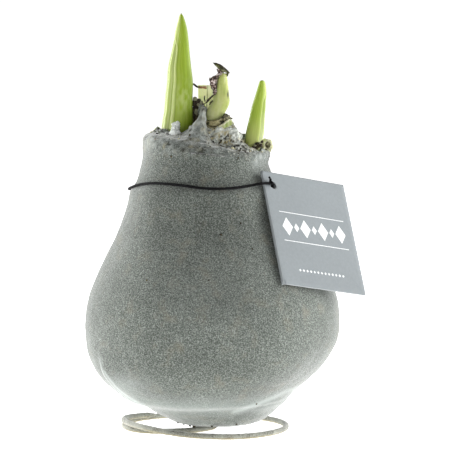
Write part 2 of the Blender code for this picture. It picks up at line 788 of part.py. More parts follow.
def ring_way():
    """Middle line of the wire: the ring by angle, then the leg to the middle and the spike up."""
    degrees = np.append(np.arange(131, 534, 6.7), 534)
    radius, height = through(RING, degrees).T
    angle = np.radians(degrees)
    level = WIRE_REST + np.maximum(height, 0)
    turns = np.column_stack([radius * np.cos(angle), radius * np.sin(angle), level])
    leg = np.array([(x, y, WIRE_REST) for x, y in LEG])
    heading = math.atan2(-LEG[-1][1], SPIKE_X - LEG[-1][0])
    bend = []
    for turn in np.radians(np.linspace(0, 90, 6)):
        back = SPIKE_BEND * (1 - math.sin(turn))
        x, y = SPIKE_X - back * math.cos(heading), -back * math.sin(heading)
        bend.append((x, y, WIRE_REST + SPIKE_BEND * (1 - math.cos(turn))))
    spike = [(SPIKE_X, 0, SPIKE_TOP - 0.004), (SPIKE_X, 0, SPIKE_TOP)]
    rough = np.vstack([leg, bend])
    steps = np.linalg.norm(np.diff(rough, axis=0), axis=1)
    along = np.concatenate([[0], np.cumsum(steps)])
    smooth = through(np.column_stack([along, rough]), np.linspace(0, along[-1], 24))
    smooth[:, 2] = np.maximum(smooth[:, 2], WIRE_REST)
    return np.vstack([turns, smooth, spike]) + [RING_X, 0, 0]


def make_wire(wax, bulb):
    """The wire, flat underneath where it stands, and its clearance cut out of the wax and the bulb."""
    way = ring_way()
    finish(tube("wire_stand", way, WIRE_RADIUS, WIRE_SIDES), "grey flock")
    inner = way[np.hypot(way[:, 0] - RING_X - SPIKE_X, way[:, 1]) < 0.016]
    tail = inner[-1] + [0, 0, WIRE_CLEARANCE + 0.0003]
    clearance = np.vstack([inner[:-1], tail])
    for target in (wax, bulb):
        hole = tube(f"{target.name}_wire_hole", clearance, WIRE_RADIUS + WIRE_CLEARANCE, 12)
        combine(target, "DIFFERENCE", hole)


# The cord and the tag

def tag_point(across, down, back=0.0):
    """A point of the tag, from its upper left corner."""
    return TAG_CORNER + across * TAG_ACROSS + down * TAG_DOWN + back * TAG_BACK


def cord_way():
    """Points of the closed cord: round the neck on the wax, out over the tag and through its hole."""
    degrees, heights = np.array(CORD_COURSE, float).T
    level = np.interp(heights, np.array(BODY_OUTLINE)[:, 0], np.arange(TOP_LEVEL + 1))
    off = CORD_RADIUS + GAP + CORD_SLACK
    round_neck = wall(level, np.radians(degrees), -off)
    across, down = TAG_HOLE
    at_tag = [
        tag_point(across + 0.0004, down + 0.0002, TAG_THICKNESS + 0.0005),
        tag_point(across, down, TAG_THICKNESS / 2),
        tag_point(across - 0.0006, down - 0.0002, -off),
        tag_point(across - 0.0030, down - 0.0006, -off - 0.0002),
        tag_point(across - 0.0062, down - 0.0006, -off + 0.0004),
    ]
    corners = np.vstack([round_neck, [tuple(point) for point in at_tag]])
    ends = np.vstack([corners[-3:], corners, corners[:3]])
    along = np.concatenate([[0], np.cumsum(np.linalg.norm(np.diff(ends, axis=0), axis=1))])
    whole = along[len(corners) + 3] - along[3]
    spots = along[3] + np.linspace(0, whole, int(whole / CORD_STEP), endpoint=False)
    return through(np.column_stack([along, ends]), spots)


def make_cord():
    """The elastic cord, a closed loop, with a small knot in front of the tag's edge."""
    way = cord_way()
    curve = bpy.data.curves.new("elastic_cord_way", "CURVE")
    curve.dimensions = "3D"
    curve.bevel_depth = CORD_RADIUS
    curve.bevel_resolution = 2
    line = curve.splines.new("POLY")
    line.points.add(len(way) - 1)
    for point, place in zip(line.points, way):
        point.co = (*place, 1)
    line.use_cyclic_u = True
    guide = bpy.data.objects.new("elastic_cord_way", curve)
    mesh = bpy.data.meshes.new_from_object(guide)
    bpy.data.objects.remove(guide)
    mesh.name = "elastic_cord"
    cord = bpy.data.objects.new("elastic_cord", mesh)
    cord.location.x = AXIS_X
    bpy.context.scene.collection.objects.link(cord)

    shape = bmesh.new()
    place = tag_point(TAG_HOLE[0] - 0.0022, TAG_HOLE[1] - 0.0008, -0.0012)
    matrix = Matrix.Translation(place) @ Matrix.Diagonal((1.3, 0.9, 0.9, 1))
    bmesh.ops.create_icosphere(shape, subdivisions=2, radius=KNOT_RADIUS * 0.85, matrix=matrix)
    knot_mesh = bpy.data.meshes.new("cord_knot")
    shape.to_mesh(knot_mesh)
    shape.free()
    knot = bpy.data.objects.new("cord_knot", knot_mesh)
    knot.location.x = AXIS_X
    bpy.context.scene.collection.objects.link(knot)
    combine(cord, "UNION", knot)
    settle(cord)
    finish(cord, "black elastic")


def make_tag():
    """The folded card: two leaves joined by a round fold down the left side, with a punched hole."""
    half = TAG_THICKNESS / 2
    outline = [(TAG_WIDTH, 0)]
    for turn in np.radians(np.linspace(-90, -270, 7)):
        outline.append((half + half * math.cos(turn), half + half * math.sin(turn)))
    outline += [(TAG_WIDTH, TAG_THICKNESS), (TAG_WIDTH, TAG_THICKNESS - TAG_CARD)]
    inner = half - TAG_CARD
    for turn in np.radians(np.linspace(-270, -90, 5)):
        outline.append((half + inner * math.cos(turn), half + inner * math.sin(turn)))
    outline.append((TAG_WIDTH, TAG_CARD))
    count = len(outline)
    points = [tag_point(across, down, back) for down in (0, TAG_HEIGHT) for across, back in outline]
    faces = [tuple(range(count)), tuple(range(2 * count - 1, count - 1, -1))]
    for i in range(count):
        beside = (i + 1) % count
        faces.append((i, beside, count + beside, count + i))
    tag = solid("hang_tag", points, faces)

    shape = bmesh.new()
    turn = TAG_BACK.to_track_quat("Z", "Y").to_matrix().to_4x4()
    place = Matrix.Translation(tag_point(*TAG_HOLE, TAG_THICKNESS / 2)) @ turn
    bmesh.ops.create_cone(
        shape,
        cap_ends=True,
        segments=16,
        radius1=TAG_HOLE_RADIUS,
        radius2=TAG_HOLE_RADIUS,
        depth=4 * TAG_THICKNESS,
        matrix=place,
    )
    mesh = bpy.data.meshes.new("tag_punch")
    shape.to_mesh(mesh)
    shape.free()
    punch = bpy.data.objects.new("tag_punch", mesh)
    punch.location.x = AXIS_X
    bpy.context.scene.collection.objects.link(punch)
    combine(tag, "DIFFERENCE", punch)
    settle(tag)
    finish(tag, "grey card")


# Materials

FINISHES = {
    "grey flock": ((0.19, 0.20, 0.18), 0.95),
    "bulb scale": ((0.45, 0.40, 0.22), 0.75),
    "leaf green": ((0.28, 0.40, 0.07), 0.45),
    "pale leaf": ((0.48, 0.52, 0.17), 0.50),
    "dry scale": ((0.06, 0.05, 0.03), 0.85),
    "black elastic": ((0.012, 0.012, 0.012), 0.70),
    "grey card": ((0.42, 0.45, 0.46), 0.60),
}


def finish(made, name):
    """Gives the object a material of its own with this finish."""
    colour, roughness = FINISHES[name]
    material = bpy.data.materials.new(f"{made.name} {name}")
    material.use_nodes = True
    shader = material.node_tree.nodes["Principled BSDF"]
    shader.inputs["Base Color"].default_value = (*colour, 1)
    shader.inputs["Roughness"].default_value = roughness
    shader.inputs["Metallic"].default_value = 0.0
    made.data.materials.clear()
    made.data.materials.append(material)


def main():
    for old in list(bpy.data.objects):
        bpy.data.objects.remove(old)
    wax = lofted("wax_coat", wax_rings(), wall(0)[0], wall(0, depth=WAX_THICKNESS)[0])
    bulb = lofted("bulb", bulb_rings(), wall(0, depth=WAX_THICKNESS + GAP)[0])
    finish(wax, "grey flock")
    finish(bulb, "bulb scale")
    make_growth(bulb)
    make_wire(wax, bulb)
    settle(wax)
    settle(bulb)
    make_cord()
    make_tag()


main()
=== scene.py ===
"""The looks of a waxed amaryllis bulb that stands on a wound wire ring.

The bulb is coated in flocked grey wax. Two leaf shoots, a cut stub and dry scales come out of the torn
mouth of the wax, and a folded card tag hangs on an elastic cord round the neck. Lengths are in metres.
Shapes are worked out from the body's own upright axis, and make_piece brings them to their place.
"""

import math

import bpy
import numpy as np
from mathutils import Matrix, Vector


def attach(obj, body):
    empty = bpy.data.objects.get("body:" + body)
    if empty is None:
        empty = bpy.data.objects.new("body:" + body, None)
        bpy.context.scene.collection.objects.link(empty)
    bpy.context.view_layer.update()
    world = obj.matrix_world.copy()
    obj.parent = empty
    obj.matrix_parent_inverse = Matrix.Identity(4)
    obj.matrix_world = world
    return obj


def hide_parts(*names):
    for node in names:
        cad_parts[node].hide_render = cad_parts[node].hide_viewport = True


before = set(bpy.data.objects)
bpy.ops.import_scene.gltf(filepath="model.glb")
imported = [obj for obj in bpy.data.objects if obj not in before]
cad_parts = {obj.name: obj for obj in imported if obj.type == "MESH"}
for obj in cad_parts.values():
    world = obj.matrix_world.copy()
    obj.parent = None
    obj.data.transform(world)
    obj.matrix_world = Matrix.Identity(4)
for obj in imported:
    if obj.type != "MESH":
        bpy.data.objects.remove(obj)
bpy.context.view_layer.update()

AXIS_X = -0.004597

# The camera, from the body's axis
CAMERA_PLACE = np.array((0.0053, -0.980, 0.140))
CAMERA_AIM = np.array((0.0053, 0.0, 0.0768))
CAMERA_LENS, SENSOR, PICTURE = 206, 36.0, 454
SIGHT = (CAMERA_AIM - CAMERA_PLACE) / np.linalg.norm(CAMERA_AIM - CAMERA_PLACE)
ASIDE = np.array((1.0, 0.0, 0.0))
ABOVE = np.cross(ASIDE, SIGHT)
SIGHT_STEP = SENSOR / CAMERA_LENS / PICTURE

# The waxed body: height, radius and sideways lean from the middle of its base to just under the rim
BODY_OUTLINE = np.array(
    (
        (0.0020, 0.0000, 0.0016), (0.0021, 0.0080, 0.0016), (0.0031, 0.0155, 0.0015),
        (0.0056, 0.0205, 0.0010), (0.0096, 0.0266, -0.0006), (0.0120, 0.0312, -0.0024),
        (0.0145, 0.0336, -0.0032), (0.0188, 0.0384, -0.0032), (0.0235, 0.0426, -0.0024),
        (0.0288, 0.0456, -0.0012), (0.0345, 0.0474, -0.0003), (0.0412, 0.0480, 0.0000),
        (0.0500, 0.0470, 0.0003), (0.0592, 0.0434, 0.0002), (0.0665, 0.0394, -0.0003),
        (0.0735, 0.0354, -0.0009), (0.0805, 0.0321, -0.0015), (0.0866, 0.0301, -0.0018),
        (0.0909, 0.0289, -0.0020), (0.0937, 0.0268, -0.0023), (0.0975, 0.0251, -0.0026),
        (0.1025, 0.0238, -0.0027), (0.1068, 0.0243, -0.0026),
    )
)
TOP_LEVEL = len(BODY_OUTLINE) - 1
OUTLINE_BY_LEVEL = np.column_stack([np.arange(TOP_LEVEL + 1), BODY_OUTLINE])
WAX_THICKNESS = 0.0020
GAP = 0.0003
# Its relief: the crease round the foot, which climbs at the right, the fold at the lower left and waves
CREASE_LEVEL, CREASE_CLIMB, CREASE_DEPTH = 4.0, 1.2, 0.0006
FOLD_ANGLE = math.radians(-153)
FOLD_CREST, FOLD_DROP = 0.0004, 0.0007
LUMP_HEIGHT = 0.0005

# The neck, whose own axis stands a little left of the body's
NECK_X = BODY_OUTLINE[TOP_LEVEL, 2]
NECK_START = 0.095
RIM_HEIGHT, RIM_TILT = 0.1090, 0.0034
RIM_DIP, RIM_DIP_ANGLE, RIM_DIP_SPREAD = 0.0012, math.radians(-48), 0.42
ROUNDING_LEFT, ROUNDING_RIGHT = 0.0030, 0.0012
# The mouth in the wax, by angle and radius
MOUTH = (
    (-170, 0.0176), (-152, 0.0136), (-135, 0.0082), (-113, 0.0050), (-98, 0.0047), (-84, 0.0064),
    (-70, 0.0130), (-56, 0.0198), (-35, 0.0212), (0, 0.0212), (18, 0.0205), (38, 0.0150), (62, 0.0092),
    (90, 0.0075), (118, 0.0086), (145, 0.0140), (165, 0.0174), (180, 0.0181),
)
# Wax that stands up at the stub and in two laps: angle, height and spread
TONGUE_ANGLE, TONGUE_HEIGHT, TONGUE_SPREADS = math.radians(-99), 0.0130, (0.47, 0.22)
LAPS = ((math.radians(175), 0.0014, 0.45), (math.radians(42), 0.0064, 0.45))
# How the wax goes from the rim to its torn edge, and what is added round the tongue
CAP_POWER, EDGE_RISE = 1.8, 0.0004
FRONT_SPREAD, FRONT_ROUNDING, FRONT_EASING = 0.75, 0.0026, 0.75
# The cut neck below the rim, its mound and its collar round the stub
SCALE_SETBACK, SCALE_RISE = 0.0029, 0.0030
MOUND, MOUND_HEIGHT, MOUND_RADIUS = (0.0085, 0.0), 0.0055, 0.0075
COLLAR, COLLAR_HEIGHT, COLLAR_RADIUS = (0.0034, -0.0010), 0.0052, 0.0076

# Sections of the growth, in the neck's frame: height, middle x, middle y, half width, half depth
LEFT_SHOOT = (
    (0.1010, -0.0102, -0.0015, 0.0044, 0.0032), (0.1070, -0.0108, -0.0015, 0.0053, 0.0038),
    (0.1135, -0.0110, -0.0015, 0.0062, 0.0043), (0.1165, -0.0108, -0.0015, 0.0061, 0.0043),
    (0.1210, -0.0105, -0.0015, 0.0056, 0.0041), (0.1256, -0.0103, -0.0015, 0.0054, 0.0039),
    (0.1316, -0.0099, -0.0015, 0.0051, 0.0036), (0.1377, -0.0100, -0.0015, 0.0045, 0.0032),
    (0.1422, -0.0097, -0.0015, 0.0037, 0.0027), (0.1467, -0.0094, -0.0015, 0.0030, 0.0022),
    (0.1513, -0.0092, -0.0015, 0.0022, 0.0017), (0.1547, -0.0092, -0.0015, 0.0013, 0.0011),
    (0.1566, -0.0093, -0.0015, 0.0006, 0.0006), (0.1574, -0.0093, -0.0015, 0.0, 0.0),
)
RIGHT_SHOOT = (
    (0.0975, 0.0148, -0.0030, 0.0022, 0.0018), (0.1010, 0.0159, -0.0030, 0.0025, 0.0020),
    (0.1045, 0.0170, -0.0030, 0.0029, 0.0023), (0.1080, 0.0178, -0.0030, 0.0032, 0.0026),
    (0.1120, 0.0185, -0.0030, 0.0036, 0.0028), (0.1150, 0.0189, -0.0030, 0.0034, 0.0027),
    (0.1180, 0.0193, -0.0030, 0.0031, 0.0025), (0.1226, 0.0200, -0.0030, 0.0027, 0.0022),
    (0.1271, 0.0207, -0.0030, 0.0020, 0.0017), (0.1298, 0.0210, -0.0030, 0.0015, 0.0012),
    (0.1313, 0.0211, -0.0030, 0.0011, 0.0009), (0.1320, 0.0211, -0.0030, 0.0007, 0.0006),
    (0.1323, 0.0211, -0.0030, 0.0, 0.0),
)
STUB = (
    (0.1080, 0.0030, -0.0010, 0.0022, 0.0020), (0.1130, 0.0030, -0.0010, 0.0028, 0.0025),
    (0.1165, 0.0031, -0.0010, 0.0031, 0.0028), (0.1192, 0.0034, -0.0010, 0.0035, 0.0030),
    (0.1215, 0.0043, -0.0010, 0.0036, 0.0030), (0.1240, 0.0055, -0.0010, 0.0034, 0.0028),
    (0.1270, 0.0059, -0.0010, 0.0028, 0.0025), (0.1300, 0.0060, -0.0010, 0.0023, 0.0021),
    (0.1326, 0.0061, -0.0010, 0.0019, 0.0016), (0.1348, 0.0067, -0.0010, 0.0010, 0.0009),
)
BACK_LEAF = (
    (0.1070, -0.0012, 0.0046, 0.0016, 0.0005), (0.1140, -0.0012, 0.0044, 0.0018, 0.0005),
    (0.1230, -0.0010, 0.0040, 0.0020, 0.0005), (0.1302, -0.0010, 0.0038, 0.0021, 0.0004),
)
DARK_SCALE = (
    (0.1070, -0.0026, 0.0014, 0.0012, 0.0004), (0.1150, -0.0029, 0.0014, 0.0013, 0.0004),
    (0.1200, -0.0031, 0.0014, 0.0012, 0.0004), (0.1240, -0.0030, 0.0014, 0.0009, 0.0004),
    (0.1252, -0.0029, 0.0014, 0.0004, 0.0003),
)

# The shoots' leaves: the angles that the outer leaf covers at its foot and at its tip, the share of its
# height where it has closed, its scuffs, the thin lines along its edge by angle, spread and strength,
# and where the inner leaf ends
BLADE_THICKNESS = 0.0007
LEFT_SPANS = (-116, 135), (-176, 176)
RIGHT_SPANS = (-332, -62), (-367, -15)
SEAM_CLOSES = 0.90
SCUFF_HEIGHT, SCUFF_ANGLE = 0.1250, math.radians(-75)
EDGE_LINES = ((0, 0.04, 0.75), (0.26, 0.04, 0.50), (0.45, 0.03, 0.20))
INNER_LEAF_ENDS, INNER_LEAF_SLACK = 0.91, 0.0005

# The scale that curls round a level axis on the rim
CURL_CENTRE, CURL_RADIUS, CURL_LENGTH = (0.0230, 0.0006, 0.1081), 0.0019, 0.0064
CURL_THICKNESS, CURL_ARC = 0.0006, (-50, 215)

# The green cut scale stands round the collar, and its top edge is given by angle and height
GREEN_SCALE_RADIUS, GREEN_SCALE_THICKNESS, GREEN_SCALE_FOOT = 0.0066, 0.0007, 0.1085
GREEN_SCALE_TOP = (
    (-80, 0.1150), (-60, 0.1164), (-40, 0.1179), (-26, 0.1172), (-10, 0.1164), (0, 0.1159),
    (30, 0.1160), (62, 0.1152),
)

# Torn bits at the neck, by place in the picture, across and down in its pixels. First the crumpled
# skin down the stub's left: its middle line with the half width, and lumps with their size
CRUMPLED_WAY = (
    (221.8, 73.2, 1.3), (217.6, 75.8, 2.0), (214.0, 78.6, 3.1), (212.8, 82.4, 3.8), (214.1, 86.6, 3.8),
    (214.9, 90.2, 3.2), (215.0, 93.6, 1.8),
)
CRUMPLED_LUMPS = (
    (211.0, 79.0, 1.4), (213.6, 82.6, 1.5), (215.6, 80.2, 1.2), (215.4, 87.6, 1.4), (211.8, 86.2, 1.3),
    (216.4, 91.0, 1.1), (218.6, 74.2, 1.0),
)
# Dark torn edges: the line, its depth and its radius
TORN_LINES = (
    (((214.6, 94.2), (211.4, 97.0), (208.6, 99.6), (206.4, 102.6), (204.2, 103.6)), -0.0026, 0.00042),
    (((212.6, 100.6), (210.6, 102.8), (209.2, 105.2)), -0.0030, 0.00038),
    (((209.6, 86.0), (208.4, 90.0), (208.6, 95.0), (207.2, 100.0)), 0.0006, 0.00034),
    (((205.2, 95.6), (204.6, 99.0), (205.0, 102.0)), 0.0020, 0.00042),
    (
        ((222.6, 72.6), (219.2, 75.0), (217.0, 79.0), (216.4, 84.0), (216.8, 89.5), (215.4, 94.0)),
        -0.0014,
        0.00036,
    ),
    (((218.6, 80.0), (217.8, 84.0), (218.4, 88.0)), -0.0022, 0.00026),
    (((213.0, 62.6), (216.6, 63.4), (220.6, 65.2), (225.6, 69.0), (230.0, 73.2)), -0.0019, 0.00024),
)
# The withered band round the stub's foot: its middle, radius, upper edge and lower edge
BAND_MIDDLE, BAND_RADIUS = (0.0044, -0.0010), 0.0046
BAND_UPPER = (
    (205.9, 118.4), (206.6, 119.5), (212.0, 120.4), (217.0, 119.6), (221.0, 117.8), (223.4, 115.6),
    (224.8, 113.4), (227.6, 114.0), (230.0, 116.6),
)
BAND_LOWER = (
    (205.6, 122.0), (207.6, 124.6), (210.2, 126.2), (215.3, 126.6), (219.4, 125.2), (224.5, 122.2),
    (227.5, 120.1), (229.4, 118.8), (230.6, 117.9),
)
# Paint on the stub and the band: across, down, half width, half height and strength
STUB_PALE = (
    (211.0, 112.0, 4.5, 8.0, 0.22), (219.0, 104.0, 2.4, 9.0, 0.25), (224.6, 78.0, 0.9, 5.0, 0.45),
)
STUB_STAINS = (
    (227.6, 94.6, 0.6, 3.0, 0.95), (217.0, 83.0, 1.3, 5.0, 0.45), (216.0, 93.0, 1.5, 3.5, 0.40),
    (224.4, 92.0, 1.0, 6.0, 0.16), (209.0, 117.0, 2.4, 1.2, 0.25),
)
BAND_PITS = (
    (208.2, 123.0, 1.2, 1.1, 1.0), (223.4, 117.4, 1.0, 0.9, 1.0), (226.6, 115.4, 0.8, 1.6, 0.7),
    (221.6, 121.6, 2.0, 1.0, 0.8),
)
# Lumps of dry skin, with their size: on the dark scale and at the right shoot's foot
DARK_LUMPS = (
    (195.2, 99.4, 1.5), (197.8, 101.6, 1.5), (194.4, 103.4, 1.6), (198.4, 105.2, 1.2),
    (196.6, 107.8, 1.8), (193.8, 109.4, 1.5), (195.8, 112.0, 1.9), (193.4, 114.2, 1.7),
    (195.4, 116.8, 2.1), (193.2, 118.6, 1.9), (194.8, 121.2, 2.2), (192.6, 122.6, 1.8),
    (201.4, 103.6, 1.2), (203.0, 105.4, 1.2), (200.6, 106.6, 1.0),
)
FOOT_BITS = (
    (253.6, 147.6, 1.5), (255.4, 145.2, 1.3), (257.2, 144.2, 1.4), (258.8, 146.4, 1.2),
    (261.0, 145.2, 1.3), (260.2, 143.2, 1.0), (256.4, 147.6, 1.3), (252.6, 150.0, 1.5),
    (261.8, 142.0, 1.0), (255.0, 149.8, 1.0),
)
# The crumbly slope before the green scale: its upper edge and its lower edge
MOUND_UPPER = (
    (205.4, 126.4), (209.5, 128.2), (214.0, 128.8), (218.5, 127.2), (222.0, 127.4), (227.0, 128.6),
    (232.0, 128.4), (235.4, 128.6), (238.6, 131.2), (242.0, 133.6),
)
MOUND_LOWER = (
    (204.0, 140.0), (209.5, 143.0), (214.0, 144.0), (218.5, 145.0), (222.0, 145.6), (227.0, 145.8),
    (232.0, 145.4), (235.4, 145.4), (239.5, 145.2), (244.0, 144.6),
)
# Lumps in the curled scale: across, down, depth, size, paleness and darkness. The pale lump at the top of the
# curl paints a highlight
CURL_LUMPS = (
    (265.0, 141.6, -0.0010, 1.3, 0.7, 0.0), (268.0, 143.8, -0.0016, 1.5, 0.2, 0.3),
    (266.4, 146.2, -0.0020, 1.0, 0.0, 0.9), (270.0, 146.8, -0.0006, 1.3, 0.5, 0.1),
    (264.2, 147.4, -0.0024, 1.2, 0.9, 0.0), (268.4, 148.8, -0.0018, 1.4, 0.6, 0.1),
)

# The wire: the ring by angle, radius and lift from the floor, and its leg to the spike
WIRE_RADIUS = 0.0011
WIRE_REST = WIRE_RADIUS * math.cos(math.pi / 10)
RING_X = -0.0030
RING = (
    (131, 0.0298, 0.0013), (150, 0.0302, 0.0018), (180, 0.0307, 0.0027), (205, 0.0308, 0.0028),
    (225, 0.0308, 0.0024), (241, 0.0308, 0.0017), (257, 0.0308, 0.0010), (273, 0.0308, 0.0005),
    (290, 0.0308, 0.0001), (303, 0.0308, 0.0), (360, 0.0308, 0.0), (400, 0.0315, 0.0),
    (450, 0.0324, 0.0), (490, 0.0332, 0.0), (515, 0.0326, 0.0), (534, 0.0309, 0.0),
)
LEG = (
    (-0.0303, -0.0012), (-0.0286, -0.0060), (-0.0256, -0.0099), (-0.0218, -0.0124), (-0.0175, -0.0137),
    (-0.0130, -0.0140), (-0.0085, -0.0131), (-0.0042, -0.0108), (-0.0008, -0.0076), (0.0018, -0.0043),
)
# The spike: how far it stands from the ring's middle, the bend up to it and its top
SPIKE_X, SPIKE_BEND, SPIKE_TOP = 0.0046, 0.0035, 0.0260

# The cord: its radius in the solids and as shown, how far its middle is off the wax, and its course
# round the neck by angle and height
CORD_RADIUS = 0.00045
CORD_SHOWN_RADIUS = CORD_RADIUS + 0.00005
CORD_OFF = 0.0008
CORD_COURSE = (
    (-55, 0.0931), (-68, 0.0924), (-80, 0.0921), (-95, 0.0924), (-110, 0.0934), (-125, 0.0939),
    (-140, 0.0938), (-155, 0.0928), (-170, 0.0914), (-185, 0.0907), (-205, 0.0908), (-230, 0.0915),
    (-255, 0.0922), (-280, 0.0926), (-305, 0.0926), (-330, 0.0922), (-350, 0.0918), (-372, 0.0917),
    (-382, 0.0919), (-391, 0.0923),
)
# The folded tag: its size, its hole, one leaf's thickness, its upper left corner and its directions
TAG_WIDTH, TAG_HEIGHT, TAG_THICKNESS = 0.0400, 0.0461, 0.0013
TAG_HOLE, TAG_HOLE_RADIUS = (0.0044, 0.0054), 0.0014
CARD_LEAF = 0.00035
TAG_CORNER = np.array((0.0181, -0.0175, 0.0989))
TAG_ACROSS = np.array((0.786, 0.597, -0.162)) / np.linalg.norm((0.786, 0.597, -0.162))
TAG_BACK = np.cross(TAG_ACROSS, (0.166, -0.456, -0.874))
TAG_BACK /= np.linalg.norm(TAG_BACK)
TAG_DOWN = np.cross(TAG_BACK, TAG_ACROSS)


# Curves and fields


def through(stations, at):
    """Values at the given parameters of a smooth curve through the stations, whose first column is it.

    Between two stations it is the cubic that meets both with the slopes of the stations beside them.
    """
    stations = np.asarray(stations, float)
    knots, values = stations[:, 0], stations[:, 1:]
    slopes = np.gradient(values, knots, axis=0)
    at = np.clip(np.asarray(at, float), knots[0], knots[-1])
    part = np.clip(np.searchsorted(knots, at, side="right") - 1, 0, len(knots) - 2)
    span = (knots[part + 1] - knots[part])[..., None]
    share = (at - knots[part])[..., None] / span
    rest = 1 - share
    return (
        values[part] * (1 + 2 * share) * rest**2
        + values[part + 1] * (3 - 2 * share) * share**2
        + slopes[part] * span * share * rest**2
        - slopes[part + 1] * span * share**2 * rest
    )


def through_round(stations, degrees):
    """The same for a closed curve by angle in degrees: three stations are repeated at each end."""
    stations = np.asarray(stations, float)
    before, after = stations[-3:].copy(), stations[:3].copy()
    before[:, 0] -= 360
    after[:, 0] += 360
    start = stations[0, 0]
    return through(np.vstack([before, stations, after]), (np.asarray(degrees) - start) % 360 + start)


def smooth_path(corners, count, closed=False):
    """This many points, evenly spaced by length, on a smooth curve through the corners."""
    corners = np.asarray(corners, float)
    if closed:
        corners = np.vstack([corners[-3:], corners, corners[:4]])
    along = np.concatenate([[0], np.cumsum(np.linalg.norm(np.diff(corners, axis=0), axis=1))])
    start, end = (along[3], along[-4]) if closed else (0, along[-1])
    return through(np.column_stack([along, corners]), np.linspace(start, end, count, endpoint=not closed))


def turned(angle):
    """An angle brought between minus and plus half a turn."""
    return (angle + math.pi) % (2 * math.pi) - math.pi


def bell(offset, spread):
    """One at no offset, falling as the exponential of minus its square."""
    return np.exp(-((offset / spread) ** 2))


def eased(share):
    """Zero below 0, one above 1, and three squares less two cubes of the share between."""
    share = np.clip(share, 0, 1)
    return share * share * (3 - 2 * share)


def corner_values(i, j, k, seed):
    """A fixed random number from 0 to 1 for each lattice corner, mixed from its three whole numbers."""
    mixed = (i * 374761393 + j * 668265263 + k * 1440662683 + seed * 974634777) & 0xFFFFFFFF
    mixed = ((mixed ^ (mixed >> 13)) * 1274126177) & 0xFFFFFFFF
    return ((mixed ^ (mixed >> 16)) & 0xFFFF) / 0xFFFF


def clumps(points, size, seed):
    """A smooth random field from -1 to 1: lattice corners of this size, blended by eased shares."""
    place = np.asarray(points) / size
    corner = np.floor(place).astype(np.int64)
    share = eased(place - corner)
    total = np.zeros(place.shape[:-1])
    for step in np.ndindex(2, 2, 2):
        weight = np.prod(np.where(np.array(step, bool), share, 1 - share), axis=-1)
        total += weight * corner_values(*np.moveaxis(corner + step, -1, 0), seed)
    return 2 * total - 1


def grain(points, size, seed):
    """Three octaves of clumps, each half the size and a little over half the strength of the last."""
    return sum(0.55**n * clumps(points, size / 2**n, seed + n) for n in range(3))


# Places of the picture


def seen_point(across, down, depth):
    """The point at this depth on the sight line through a place of the picture, across and down in it."""
    across, down, depth = (np.asarray(value, float)[..., None] for value in (across, down, depth))
    way = SIGHT + SIGHT_STEP * ((across - PICTURE / 2) * ASIDE - (down - PICTURE / 2) * ABOVE)
    return CAMERA_PLACE + way * (depth - CAMERA_PLACE[1]) / way[..., 1:2]


def seen_path(places, depth, count):
    """This many points at one depth on a smooth curve through places of the picture."""
    return smooth_path(seen_point(*np.array(places).T, depth), count)


def seen_place(points):
    """Where points are in the picture: their offsets aside and above over their reach along the sight."""
    offset = np.asarray(points) - CAMERA_PLACE
    reach = SIGHT_STEP * (offset @ SIGHT)
    return PICTURE / 2 + offset @ ASIDE / reach, PICTURE / 2 - offset @ ABOVE / reach


def on_round(places, middle, radius):
    """Points on the front of an upright round, seen at these places: the depth settles in five passes."""
    across, down = np.asarray(places, float).T
    depth = np.full(across.shape, middle[1] - radius)
    for _ in range(5):
        point = seen_point(across, down, depth)
        aside = np.clip((point[..., 0] - NECK_X - middle[0]) / radius, -1, 1)
        depth = middle[1] - radius * np.sqrt(1 - aside**2)
    return seen_point(across, down, depth)


def spots_on(points, spots, back=0.002):
    """Soft oval marks on the front: the strongest bell of the distances from the spots in the picture."""
    across, down = seen_place(points)
    total = np.zeros(across.shape)
    for spot_across, spot_down, wide, tall, strength in spots:
        near = bell(across - spot_across, wide) * bell(down - spot_down, tall)
        total = np.maximum(total, strength * near)
    return total * (np.asarray(points)[..., 1] < back)


# Surfaces


def round_angles(count):
    """This many angles, evenly spaced over one turn."""
    return np.linspace(0, 2 * math.pi, count, endpoint=False)


def level_circle(angle):
    """Points of a level circle of radius one: the cosine, the sine and nothing upwards."""
    return np.stack([np.cos(angle), np.sin(angle), 0 * angle], axis=-1)


def outward(rings):
    """Unit normals of a surface of closed rings: the slope round it crossed with the slope along it."""
    along = np.gradient(rings, axis=0)
    beside = np.roll(rings, -1, axis=1) - np.roll(rings, 1, axis=1)
    normal = np.cross(beside, along)
    return normal / np.maximum(np.linalg.norm(normal, axis=-1, keepdims=True), 1e-12)


def roughened(rings, amount, size, seed):
    """Rings with each point moved along its normal by grain."""
    return rings + outward(rings) * (amount * grain(rings, size, seed))[..., None]


